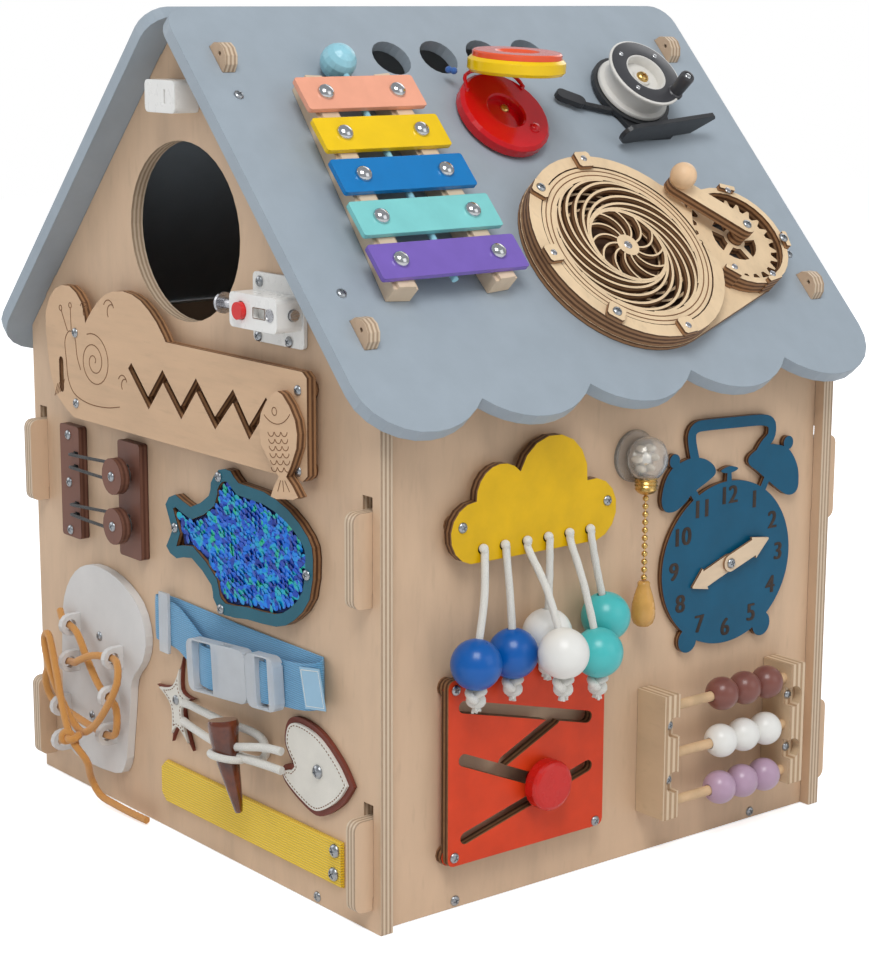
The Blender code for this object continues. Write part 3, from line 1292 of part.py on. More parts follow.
def build_zigzag(front):
    ply = paint("zigzag_ply", (0.72, 0.55, 0.38), 0.6)
    outline = shaped(ZIGZAG_OUTLINE_SHARES, ZIGZAG_LENGTH, ZIGZAG_HEIGHT, steps=2)
    path = share_places(ZIGZAG_PATH_SHARES, ZIGZAG_LENGTH, ZIGZAG_HEIGHT)
    slot = band(path, ZIGZAG_SLOT_WIDTH)
    knob_x = KNOB_SLOT_X_SHARE * ZIGZAG_LENGTH
    knob_z = KNOB_SLOT_Z_SHARE * ZIGZAG_HEIGHT
    half = KNOB_SLOT_LENGTH / 2
    side_slot = capsule((knob_x, knob_z - half), (knob_x, knob_z + half), ZIGZAG_SLOT_WIDTH, 4)
    panel = plate([outline, slot, side_slot], STANDOFF, STANDOFF + PANEL_THICKNESS)
    screws = share_places(ZIGZAG_SCREW_SHARES, ZIGZAG_LENGTH, ZIGZAG_HEIGHT)
    corner = (ZIGZAG_LEFT, ZIGZAG_BOTTOM, 0)
    add_part("zigzag_panel", combined(panel, standoffs(screws)), ply, front, corner)

    end = Vector(path[-1])
    start = end + (Vector(path[-2]) - end).normalized() * (SLIDER_STEM_RADIUS + RUN)
    face = STANDOFF + PANEL_THICKNESS + GAP
    outline = shaped(SLIDER_OUTLINE_SHARES, SLIDER_LENGTH, SLIDER_WIDTH, steps=2)
    outline = shifted(turned_outline(outline, SLIDER_TILT), SLIDER_SHIFT, 0)
    body = plate([outline], face, face + SLIDER_THICKNESS)
    stem = plate([circle(SLIDER_STEM_RADIUS, 12)], STANDOFF - SLIDER_FOOT_THICKNESS, face + GAP)
    foot_top = STANDOFF - GAP
    foot = plate([circle(SLIDER_FOOT_RADIUS, 16)], foot_top - SLIDER_FOOT_THICKNESS, foot_top)
    slider = combined(body, [stem, foot])
    place = (ZIGZAG_LEFT + start.x, ZIGZAG_BOTTOM + start.y, 0)
    add_part("fish_slider", slider, ply, front, place)


# Elastic board
def elastic_line():
    """Line of the elastic: through the peg bar, round each knob and back along the bar's rear."""
    reach = KNOB_BAR_X - PEG_BAR_X
    wrap = KNOB_STEM_RADIUS + ELASTIC_RADIUS + 2 * RUN
    bend = 2 * ELASTIC_RADIUS
    top = BAR_THICKNESS + ELASTIC_LIFT + ELASTIC_RADIUS
    back = 2 * GAP + ELASTIC_RADIUS
    low = BAR_THICKNESS / 2
    line = []
    for order, centre in enumerate(KNOB_HEIGHTS):
        upper = ELASTIC_HOLES[2 * order]
        lower = ELASTIC_HOLES[2 * order + 1]
        front_bend = arc((ELASTIC_X + bend, top - bend), bend, math.pi, -math.pi / 2, 3)
        rear_bend = arc((bend, back + bend), bend, math.pi, math.pi / 2, 3)
        if order == 0:
            line.append((ELASTIC_X, upper, low))
        else:
            line += [(ELASTIC_X, upper + depth, off) for depth, off in rear_bend[::-1]]
        line += [(x, upper, off) for x, off in front_bend]
        line += [(x, z, top) for x, z in arc((reach, centre), wrap, math.pi / 2, -math.pi, 7)]
        line += [(x, lower, off) for x, off in front_bend[::-1]]
        if order == 0:
            line += [(ELASTIC_X, lower - depth, off) for depth, off in rear_bend]
        else:
            line.append((ELASTIC_X, lower, low))
    return line


def build_elastic_board(front):
    brown = paint("board_brown", (0.27, 0.135, 0.095), 0.5)
    black = paint("elastic_black", (0.02, 0.02, 0.02), 0.7)
    line = elastic_line()
    bar = plate([rounded_box(PEG_BAR_WIDTH, BAR_HEIGHT, BAR_CORNER)], GAP, BAR_THICKNESS)
    holes = []
    for z in ELASTIC_HOLES:
        middle = (ELASTIC_X + ELASTIC_BORE, z)
        outline = rounded_box(4 * ELASTIC_BORE, 2 * ELASTIC_BORE, ELASTIC_BORE / 2, middle, 1)
        holes.append(plate([outline], -OVERRUN, BAR_THICKNESS + OVERRUN))
    groove_span = ELASTIC_HOLES[1] - ELASTIC_HOLES[2]
    groove_middle = (ELASTIC_HOLES[1] + ELASTIC_HOLES[2]) / 2
    groove_outline = rounded_box(2 * ELASTIC_BORE, groove_span, GAP, (ELASTIC_X, groove_middle), 1)
    holes.append(plate([groove_outline], -OVERRUN / 2, BAR_THICKNESS / 1.5))
    add_part("peg_bar", combined(bar, [], holes), brown, front, (PEG_BAR_X, BAR_Z, 0))

    board = plate([rounded_box(KNOB_BAR_WIDTH, BAR_HEIGHT, BAR_CORNER)], GAP, BAR_THICKNESS)
    knobs = []
    for z in KNOB_HEIGHTS:
        stem_top = BAR_THICKNESS + KNOB_STEM_HEIGHT
        stem = circle(KNOB_STEM_RADIUS, 12, (0, z))
        knobs.append(plate([stem], BAR_THICKNESS / 2, stem_top + KNOB_THICKNESS / 2))
        knobs.append(plate([circle(KNOB_RADIUS, 20, (0, z))], stem_top, stem_top + KNOB_THICKNESS))
    add_part("knob_bar", combined(board, knobs), brown, front, (KNOB_BAR_X, BAR_Z, 0))
    add_cord("elastic_cord", line, ELASTIC_RADIUS, black, front, (PEG_BAR_X, BAR_Z, 0))


# Sequin fish
def build_fish(front):
    teal = paint("fish_teal", (0.01, 0.13, 0.19), 0.5)
    blue = paint("sequin_blue", (0.0, 0.09, 0.62), 0.2, 0.3)
    outline = shaped(FISH_OUTLINE_SHARES, FISH_LENGTH, FISH_HEIGHT, steps=2)
    opening = inset(outline, FISH_RIM)
    frame = plate([outline, opening], GAP, FISH_THICKNESS)
    pad = plate([inset(opening, GAP)], GAP, FISH_PAD_THICKNESS)
    add_part("fish_frame", frame, teal, front, (FISH_X, FISH_Z, 0))
    add_part("sequin_pad", pad, blue, front, (FISH_X, FISH_Z, 0))


# Lacing sole
def lace_eye():
    """A rounded lug that stands on the sole, with its hole along X."""
    half = EYE_WIDTH / 2
    outline = [(-half, -SOLE_THICKNESS / 2)] + arc((0, EYE_HEIGHT - half), half, math.pi, -math.pi, 6)
    outline.append((half, -SOLE_THICKNESS / 2))
    hole = circle(EYE_HOLE, 8, (0, EYE_HEIGHT - half))
    eye = plate([outline, hole], -EYE_THICKNESS / 2, EYE_THICKNESS / 2)
    turn = Matrix(((0, 0, 1, 0), (1, 0, 0, 0), (0, 1, 0, 0), (0, 0, 0, 1)))
    return moved(eye, turn)


def build_sole(front):
    grey = paint("sole_foam", (0.62, 0.62, 0.60), 0.8)
    tan = paint("lace_tan", (0.66, 0.33, 0.08), 0.8)
    outline = shaped(SOLE_OUTLINE_SHARES, SOLE_WIDTH, SOLE_HEIGHT)
    sole = plate([outline], GAP, SOLE_THICKNESS)
    eyes = []
    for x, z in share_places(EYE_PLACE_SHARES, SOLE_WIDTH, SOLE_HEIGHT):
        eyes.append(moved(lace_eye(), Matrix.Translation((x, z, SOLE_THICKNESS))))
    add_part("lacing_sole", combined(sole, eyes), grey, front, (SOLE_X, SOLE_Z, 0))
    add_cord("shoe_lace", smooth_line(LACE_ROUTE, 76), LACE_RADIUS, tan, front)


# Buckled strap


def build_strap(front):
    blue = paint("strap_blue", (0.20, 0.48, 0.70), 0.8)
    clear = paint("buckle_clear", (0.75, 0.76, 0.78), 0.25, 0.0, 0.3)
    strap = ribbon(STRAP_ROUTE, STRAP_WIDTH, STRAP_THICKNESS)
    outline = rounded_box(ADJUSTER_WIDTH, ADJUSTER_HEIGHT, ADJUSTER_THICKNESS / 2)
    adjuster = plate([outline], 0, ADJUSTER_THICKNESS)
    place = (ADJUSTER_X, STRAP_ROUTE[12][1], ADJUSTER_LIFT - STRAP_THICKNESS)
    adjuster = moved(adjuster, Matrix.Translation(place))
    add_part("blue_strap", combined(strap, [adjuster]), blue, front)

    half = BUCKLE_HALF_HEIGHT
    high = BUCKLE_LIFT + BUCKLE_THICKNESS
    middle = BUCKLE_LIFT + BUCKLE_THICKNESS / 2
    outline = rounded_box(SOCKET_LENGTH, 2 * half, half / 3, (SOCKET_LENGTH / 2, 0))
    window_height = 2 * (half - SOCKET_WALL / 2)
    window = rounded_box(SOCKET_WINDOW, window_height, SOCKET_WALL / 2, (SOCKET_BAR + SOCKET_WINDOW / 2, 0))
    body = plate([outline, window], BUCKLE_LIFT, high)
    arm_room = PLUG_ARM_THICKNESS / 2 + 2 * RUN
    cavity_start = SOCKET_BAR + SOCKET_WINDOW + SOCKET_BAR
    cavity_length = SOCKET_LENGTH - cavity_start + OVERRUN
    cavity_middle = (cavity_start + cavity_length / 2, 0)
    cavity_outline = rounded_box(cavity_length, 2 * (half - SOCKET_WALL), RUN, cavity_middle, 1)
    cavity = plate([cavity_outline], middle - arm_room, middle + arm_room)
    side_middle = (cavity_start + SOCKET_SIDE_OPENING / 2, 0)
    side_outline = rounded_box(SOCKET_SIDE_OPENING, 3 * half, RUN, side_middle, 1)
    sides = plate([side_outline], middle - arm_room, middle + arm_room)
    socket = combined(body, [], [cavity, sides])
    place = (BUCKLE_X, BUCKLE_Z, 0)
    turn = (0, 0, BUCKLE_TILT)
    add_part("buckle_socket", socket, clear, front, place, turn)

    plug_start = SOCKET_LENGTH + GAP
    outline = rounded_box(PLUG_LENGTH, 2 * half, half / 3, (plug_start + PLUG_LENGTH / 2, 0))
    window_x = plug_start + PLUG_LENGTH - PLUG_BAR - PLUG_WINDOW / 2
    window = rounded_box(PLUG_WINDOW, window_height, SOCKET_WALL / 2, (window_x, 0))
    grip = plate([outline, window], BUCKLE_LIFT, high)
    arms = []
    reach = SOCKET_WALL + RUN
    for side in (-1, 1):
        arm_y = side * (half - reach - PLUG_HEAD_WIDTH / 2)
        arm_from = (plug_start - PLUG_ARM_LENGTH, arm_y)
        arm_to = (plug_start + PLUG_BAR / 2, arm_y)
        low = middle - PLUG_ARM_THICKNESS / 2
        top = middle + PLUG_ARM_THICKNESS / 2
        arms.append(plate([band([arm_from, arm_to], PLUG_ARM_WIDTH)], low, top))
        head_place = (plug_start - PLUG_ARM_LENGTH + PLUG_HEAD_LENGTH / 2, arm_y)
        head = rounded_box(PLUG_HEAD_LENGTH, PLUG_HEAD_WIDTH, PLUG_ARM_WIDTH / 3, head_place, 2)
        arms.append(plate([head], low + GAP / 2, top - GAP / 2))
    add_part("buckle_plug", combined(grip, arms), clear, front, place, turn)


# Horn toggle


def build_toggle(front):
    cream = paint("patch_cream", (0.66, 0.62, 0.55), 0.7)
    horn_brown = paint("horn_brown", (0.16, 0.04, 0.015), 0.15)
    star = plate([shaped(STAR_SHARES, STAR_WIDTH, STAR_HEIGHT, (STAR_X, STAR_Z), 2)], GAP, PATCH_THICKNESS)
    loop = tube(smooth_line(STAR_LOOP_ROUTE, 30), CORD_RADIUS, 8)
    add_part("star_patch", combined(star, [loop]), cream, front)
    heart = plate([shaped(HEART_SHARES, HEART_WIDTH, HEART_HEIGHT, (HEART_X, HEART_Z))], GAP, PATCH_THICKNESS)
    add_part("heart_patch", heart, cream, front)
    count = len(HORN_ROUTE)
    radii = []
    for index in range(count):
        share = index / (count - 1)
        radii.append(HORN_TOP_RADIUS + (HORN_TIP_RADIUS - HORN_TOP_RADIUS) * share**1.15)
    radii[0] = HORN_TOP_RADIUS * 0.93
    horn = tube(HORN_ROUTE, radii, 14)
    cords = [tube(smooth_line(route, 6), CORD_RADIUS, 8) for route in HORN_CORD_ROUTES]
    add_part("toggle_horn", combined(horn, cords), horn_brown, front)


def build_yellow_strap(front):
    yellow = paint("strap_yellow", (0.78, 0.58, 0.02), 0.85)
    length = YELLOW_LENGTH
    height = YELLOW_HEIGHT
    chamfer = YELLOW_CHAMFER
    outline = [(chamfer, 0), (length, 0), (length, height), (chamfer, height)]
    outline += [(0, height - chamfer), (0, chamfer)]
    strap = plate([outline], GAP, YELLOW_THICKNESS)
    add_part("yellow_strap", strap, yellow, front, (YELLOW_LEFT, YELLOW_BOTTOM, 0))


# Rain cloud
def cloud_outline():
    """Union of the circles above the flat bottom, walked as one anticlockwise line."""
    points = []
    count = len(CLOUD_CIRCLES)
    for index in range(count - 1, -1, -1):
        x, z, radius = CLOUD_CIRCLES[index]
        if index == count - 1:
            start = math.asin((CLOUD_BOTTOM - z) / radius)
        else:
            start = meeting_angle(CLOUD_CIRCLES[index], CLOUD_CIRCLES[index + 1])
        if index == 0:
            end = math.pi - math.asin((CLOUD_BOTTOM - z) / radius)
        else:
            end = meeting_angle(CLOUD_CIRCLES[index], CLOUD_CIRCLES[index - 1])
        sweep = (end - start) % math.tau
        points += arc((x, z), radius, start, sweep, 8)[: None if index == 0 else -1]
    return points


def meeting_angle(own, other):
    """Angle on the own circle of the upper point where the two circles cross."""
    across = other[0] - own[0]
    rise = other[1] - own[1]
    distance = math.hypot(across, rise)
    toward = math.atan2(rise, across)
    spread = math.acos((distance**2 + own[2] ** 2 - other[2] ** 2) / (2 * distance * own[2]))
    sides = [toward + spread, toward - spread]
    return max(sides, key=lambda angle: own[1] + own[2] * math.sin(angle))


def build_cloud(right):
    yellow = paint("cloud_yellow", (0.70, 0.43, 0.0), 0.35)
    holes = [circle(CLOUD_HOLE, 10, (hole_y, CLOUD_HOLE_Z)) for name, hole_y, y, z, off in DROPS]
    sheet = plate([cloud_outline()] + holes, STANDOFF, STANDOFF + PANEL_THICKNESS)
    add_part("cloud_panel", combined(sheet, standoffs(CLOUD_SCREWS)), yellow, right)
    colours = {"blue": (0.0, 0.16, 0.52), "white": (0.72, 0.70, 0.64), "turquoise": (0.13, 0.55, 0.53)}
    pivot_off = STANDOFF + PANEL_THICKNESS + GAP + ROPE_RADIUS
    for name, hole_y, bead_y, bead_z, bead_off in DROPS:
        bead = Vector((bead_y - hole_y, bead_z - CLOUD_HOLE_Z, bead_off - pivot_off))
        middle = Vector((bead.x * 0.35, bead.y * 0.45, bead.z * 0.55))
        low = bead - Vector((0, BEAD_RADIUS + KNOT_LENGTH + TAIL_LENGTH, 0))
        rope = tube(smooth_line([(0, 0, 0), (0, -2 * ROPE_RADIUS, 0), middle, bead, low], 8), ROPE_RADIUS, 8)
        knot_place = bead - Vector((0, BEAD_RADIUS + KNOT_LENGTH * 0.4, 0))
        knot = ball(KNOT_RADIUS, 8, 4, knot_place)
        drop = combined(ball(BEAD_RADIUS, 16, 8, bead), [rope, knot])
        colour = paint(name + "_paint", colours[name.split("_")[1]], 0.4)
        add_part(name, drop, colour, right, (hole_y, CLOUD_HOLE_Z, pivot_off))


# Lamp with its pull
def build_lamp(right):
    clear = paint("lamp_clear", (0.80, 0.80, 0.78), 0.1, 0.0, 0.8)
    wood = paint("pull_wood", (0.66, 0.46, 0.26), 0.5)
    flange = GAP + LAMP_FLANGE_THICKNESS
    profile = [(0, GAP), (LAMP_FLANGE_RADIUS, GAP), (LAMP_FLANGE_RADIUS, flange), (LAMP_RADIUS, flange)]
    bevel = LAMP_ROUND / 3
    profile += [(LAMP_RADIUS, LAMP_DEPTH - LAMP_ROUND), (LAMP_RADIUS - bevel, LAMP_DEPTH - bevel)]
    profile += [(LAMP_RADIUS - LAMP_ROUND, LAMP_DEPTH), (0, LAMP_DEPTH)]
    body = turned(profile, 24)
    down = Matrix.Rotation(math.pi / 2, 4, "X")
    collar = turned([(0, 0), (COLLAR_RADIUS, 0), (COLLAR_RADIUS, COLLAR_LENGTH), (0, COLLAR_LENGTH)], 16)
    collar_top = -LAMP_RADIUS + COLLAR_LENGTH / 4
    collar = moved(collar, Matrix.Translation((0, collar_top, COLLAR_OFF)) @ down)
    add_part("lamp", combined(body, [collar]), clear, right, (LAMP_Y, LAMP_Z, 0))
    radius = PULL_RADIUS
    length = PULL_LENGTH
    profile = [(0, -GAP), (CHAIN_RADIUS, -GAP), (CHAIN_RADIUS, CHAIN_LENGTH)]
    pull_shares = ((0.45, 0.0), (0.62, 0.10), (0.75, 0.30), (0.95, 0.52))
    pull_shares += ((1.0, 0.70), (0.85, 0.90), (0.5, 1.0))
    profile += [(radius * wide, CHAIN_LENGTH + length * high) for wide, high in pull_shares]
    profile.append((0, CHAIN_LENGTH + length))
    pull = moved(turned([(wide, high - GAP) for wide, high in profile], 14), down)
    collar_end = LAMP_Z + collar_top - COLLAR_LENGTH
    place = (LAMP_Y, collar_end - 3 * GAP, COLLAR_OFF)
    add_part("lamp_pull", pull, wood, right, place)


# Clock
def build_clock(right):
    teal = paint("clock_teal", (0.01, 0.11, 0.19), 0.45)
    pale = paint("hand_ply", (0.80, 0.60, 0.38), 0.6)
    width = CLOCK_HALF_WIDTH
    height = CLOCK_HALF_HEIGHT
    top = CLOCK_THICKNESS
    face = plate([ellipse(width, height, 40)], GAP, top)
    handle_path = share_places(CLOCK_HANDLE_SHARES, width, height)
    pieces = [plate([band(handle_path, CLOCK_HANDLE_WIDTH)], GAP, top)]
    for side in (-1, 1):
        angle = math.pi / 2 + side * CLOCK_BELL_ANGLE
        middle = polar(CLOCK_BELL_DISTANCE, angle)
        bell = arc((0, 0), CLOCK_BELL_RADIUS, -math.pi / 2, math.pi, 8)
        lean = math.pi / 2 + side * CLOCK_BELL_LEAN
        bell = shifted(turned_outline(bell, lean), *middle)
        neck = band([polar(CLOCK_BELL_DISTANCE / 2, angle), middle], CLOCK_NUT_RADIUS)
        nut = polar(CLOCK_BELL_RADIUS + CLOCK_NUT_RADIUS / 2, lean)
        nut_place = (middle[0] + nut[0], middle[1] + nut[1])
        nut = circle(CLOCK_NUT_RADIUS, 8, nut_place)
        foot_angle = -math.pi / 2 + side * CLOCK_FOOT_ANGLE / 1.5
        foot_place = polar(height + CLOCK_FOOT_RADIUS / 2, foot_angle)
        foot = circle(CLOCK_FOOT_RADIUS, 12, foot_place)
        for outline in (bell, neck, nut, foot):
            pieces.append(plate([outline], GAP, top))
    button = rounded_box(CLOCK_TOP_WIDTH, CLOCK_TOP_HEIGHT * 2, CLOCK_TOP_HEIGHT / 6, (0, height), 2)
    pieces.append(plate([button], GAP, top))
    hand_base = top + GAP
    pin_top = hand_base + 2 * HAND_THICKNESS + 2 * GAP
    pieces.append(plate([circle(HAND_PIN_RADIUS, 10)], top / 2, pin_top))
    add_part("clock_dial", combined(face, pieces), teal, right, (CLOCK_Y, CLOCK_Z, 0))
    hands = (
        ("hour_hand", HOUR_LENGTH, HOUR_ANGLE, hand_base),
        ("minute_hand", MINUTE_LENGTH, MINUTE_ANGLE, hand_base + HAND_THICKNESS + GAP),
    )
    for name, length, angle, low in hands:
        bore = circle(HAND_PIN_RADIUS + GAP, 10)
        half = HAND_WIDTH / 2
        outline = arc((0, 0), HUB_RADIUS, math.pi / 6, math.tau - math.pi / 3, 16)
        outline += [(length * 0.72, -half * 0.7), (length * 0.72, -half * 1.3), (length, 0)]
        outline += [(length * 0.72, half * 1.3), (length * 0.72, half * 0.7)]
        hand = plate([outline, bore], 0, HAND_THICKNESS)
        add_part(name, hand, pale, right, (CLOCK_Y, CLOCK_Z, low), (0, 0, angle))


# Slot maze with its knob
def build_maze(right):
    orange = paint("maze_orange", (0.72, 0.09, 0.02), 0.4)
    red = paint("maze_red", (0.62, 0.01, 0.01), 0.3)
    middle = (MAZE_WIDTH / 2, MAZE_HEIGHT / 2)
    outline = rounded_box(MAZE_WIDTH, MAZE_HEIGHT, MAZE_CORNER, middle)
    slots = []
    ends = []
    for x1, z1, x2, z2 in MAZE_SLOT_SHARES:
        first = (x1 * MAZE_WIDTH, z1 * MAZE_HEIGHT)
        second = (x2 * MAZE_WIDTH, z2 * MAZE_HEIGHT)
        ends.append((Vector(first), Vector(second)))
        slots.append(capsule(first, second, MAZE_SLOT_WIDTH, 6))
    sheet = plate([outline], STANDOFF, STANDOFF + PANEL_THICKNESS)
    cutters = [plate([slot], STANDOFF - OVERRUN, STANDOFF + PANEL_THICKNESS + OVERRUN) for slot in slots]
    screws = share_places(MAZE_SCREW_SHARES, MAZE_WIDTH, MAZE_HEIGHT)
    panel = combined(combined(sheet, standoffs(screws)), [], cutters)
    add_part("maze_panel", panel, orange, right, (MAZE_LEFT, MAZE_BOTTOM, 0))

    start, end = ends[MAZE_KNOB_SLOT_INDEX]
    place = end + (start - end).normalized() * MAZE_KNOB_END
    low = STANDOFF + PANEL_THICKNESS + GAP
    high = low + MAZE_KNOB_THICKNESS
    radius = MAZE_KNOB_RADIUS
    corner = MAZE_KNOB_ROUND
    foot_top = STANDOFF - GAP
    profile = [(0, foot_top - MAZE_FOOT_THICKNESS), (MAZE_FOOT_RADIUS, foot_top - MAZE_FOOT_THICKNESS)]
    profile += [(MAZE_FOOT_RADIUS, foot_top), (MAZE_STEM_RADIUS, foot_top), (MAZE_STEM_RADIUS, low)]
    profile += [(radius - corner, low), (radius, low + corner), (radius, high - corner)]
    profile += [(radius - corner / 3, high - corner / 3), (radius - corner, high), (0, high)]
    knob = turned(profile, 24)
    add_part("maze_knob", knob, red, right, (MAZE_LEFT + place.x, MAZE_BOTTOM + place.y, 0))


# Abacus
def build_abacus(right):
    wood = paint("abacus_wood", (0.70, 0.50, 0.30), 0.55)
    height = ABACUS_HEIGHT
    top = GAP + ABACUS_DEPTH
    blocks = []
    for y in (ABACUS_LEFT, ABACUS_RIGHT):
        middle = (y + ABACUS_BLOCK / 2, ABACUS_BOTTOM + height / 2)
        outline = rounded_box(ABACUS_BLOCK, height, GAP, middle, 1)
        blocks.append(plate([outline], GAP, top))
    across = Matrix.Rotation(math.pi / 2, 4, "Y")
    rods = []
    for z in ABACUS_ROD_HEIGHTS:
        span = ABACUS_RIGHT - ABACUS_LEFT
        rod = plate([circle(ABACUS_ROD_RADIUS, 12)], 0, span)
        start = (ABACUS_LEFT + ABACUS_BLOCK / 2, z, ABACUS_ROD_OFF)
        rods.append(moved(rod, Matrix.Translation(start) @ across))
    frame = combined(blocks[0], [blocks[1]] + rods)
    add_part("abacus_frame", frame, wood, right)
    colours = ((0.29, 0.13, 0.115), (0.80, 0.79, 0.75), (0.50, 0.36, 0.54))
    pitch = 2 * ABACUS_BEAD_RADIUS
    start_angle = math.asin(ABACUS_BEAD_BORE / ABACUS_BEAD_RADIUS)
    flat = ABACUS_BEAD_RADIUS * math.cos(start_angle)
    for row, (z, colour) in enumerate(zip(ABACUS_ROD_HEIGHTS, colours)):
        profile = [(ABACUS_BEAD_BORE, 0)]
        for bead in range(ABACUS_BEAD_COUNT):
            for index in range(1, 5):
                angle = math.pi * index / 5
                along = flat - ABACUS_BEAD_RADIUS * math.cos(angle) + bead * 2 * flat
                profile.append((max(ABACUS_BEAD_RADIUS * math.sin(angle), ABACUS_BEAD_BORE + RUN), along))
        profile.append((ABACUS_BEAD_BORE, ABACUS_BEAD_COUNT * 2 * flat))
        beads = moved(turned(profile, 12), across)
        name = "bead_row_%d" % (row + 1)
        place = (ABACUS_ROW_START, z, ABACUS_ROD_OFF)
        add_part(name, beads, paint(name + "_paint", colour, 0.35), right, place)


def build_house():
    clear_scene()
    quarter = math.pi / 2
    front = face_frame("front_face", (0, -GABLE_Y, 0), (quarter, 0, 0))
    rear = face_frame("rear_face", (0, GABLE_Y, 0), (quarter, 0, math.pi))
    right = face_frame("right_face", (WALL_X, 0, 0), (quarter, 0, quarter))
    left = face_frame("left_face", (-WALL_X, 0, 0), (quarter, 0, -quarter))
    right_slope = face_frame("right_slope", (0, 0, RIDGE_HEIGHT), (ROOF_PITCH, 0, quarter))
    left_slope = face_frame("left_slope", (0, 0, RIDGE_HEIGHT), (ROOF_PITCH, 0, -quarter))
    birch = paint("birch", (0.74, 0.58, 0.42), 0.5)
    roof_grey = paint("roof_grey", (0.42, 0.48, 0.54), 0.45)
    build_gables(front, rear, birch)
    build_walls(right, left, birch)
    build_floor(birch)
    build_roof(right_slope, left_slope, roof_grey)
    build_xylophone(right_slope)
    build_castanet(right_slope)
    build_reel(right_slope)
    build_gear_train(right_slope)
    build_catch(front)
    build_latch(front)
    build_zigzag(front)
    build_elastic_board(front)
    build_fish(front)
    build_sole(front)
    build_strap(front)
    build_toggle(front)
    build_yellow_strap(front)
    build_cloud(right)
    build_lamp(right)
    build_clock(right)
    build_maze(right)
    build_abacus(right)


build_house()
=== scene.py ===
"""Visual model of the activity house, dressed over its CAD frame. Sizes are in metres."""
import math
import random

import bmesh
import bpy
from mathutils import Matrix, Vector
from mathutils.bvhtree import BVHTree


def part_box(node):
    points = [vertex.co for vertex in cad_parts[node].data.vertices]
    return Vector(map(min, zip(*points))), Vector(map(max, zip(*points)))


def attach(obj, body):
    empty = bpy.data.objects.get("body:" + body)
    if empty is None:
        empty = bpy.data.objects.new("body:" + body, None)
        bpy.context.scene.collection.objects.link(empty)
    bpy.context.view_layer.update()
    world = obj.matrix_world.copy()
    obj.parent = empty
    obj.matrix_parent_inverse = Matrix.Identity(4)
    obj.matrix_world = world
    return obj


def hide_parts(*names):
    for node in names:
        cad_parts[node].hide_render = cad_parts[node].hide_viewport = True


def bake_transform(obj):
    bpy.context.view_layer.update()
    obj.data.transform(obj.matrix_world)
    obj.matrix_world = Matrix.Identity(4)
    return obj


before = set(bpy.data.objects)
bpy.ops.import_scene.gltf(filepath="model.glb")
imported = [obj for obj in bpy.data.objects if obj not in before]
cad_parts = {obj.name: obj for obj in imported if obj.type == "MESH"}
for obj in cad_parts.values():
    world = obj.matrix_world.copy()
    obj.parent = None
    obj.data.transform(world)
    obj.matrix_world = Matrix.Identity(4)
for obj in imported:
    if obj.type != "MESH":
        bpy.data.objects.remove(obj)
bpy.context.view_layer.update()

# Sizes shared with the CAD frame
HOUSE_WIDTH = 0.362
HOUSE_DEPTH = 0.343
SHOULDER_HEIGHT = 0.29
WALL_INSET = 0.007
PLY = 0.008
GAP = 0.0003
WALL_X = HOUSE_WIDTH / 2 - WALL_INSET
PITCH = math.radians(47.0)
RIDGE_HEIGHT = SHOULDER_HEIGHT + (HOUSE_WIDTH / 2) * math.tan(PITCH) + (PLY + GAP) / math.cos(PITCH)

# A surface has its X and Y in the face, and its Z points out of the house
UPRIGHT = Matrix.Rotation(math.pi / 2, 4, "X")
SIDEWAYS = Matrix.Rotation(math.pi / 2, 4, "Z")
ALONG_X = Matrix.Rotation(math.pi / 2, 4, "Y")
FRONT = Matrix.Translation((0, -HOUSE_DEPTH / 2, 0)) @ UPRIGHT
RIGHT = Matrix.Translation((WALL_X, 0, 0)) @ SIDEWAYS @ UPRIGHT
ROOF = Matrix.Translation((0, 0, RIDGE_HEIGHT)) @ SIDEWAYS @ Matrix.Rotation(PITCH, 4, "X")
ROOF_NORMAL = (math.sin(PITCH), 0, math.cos(PITCH))


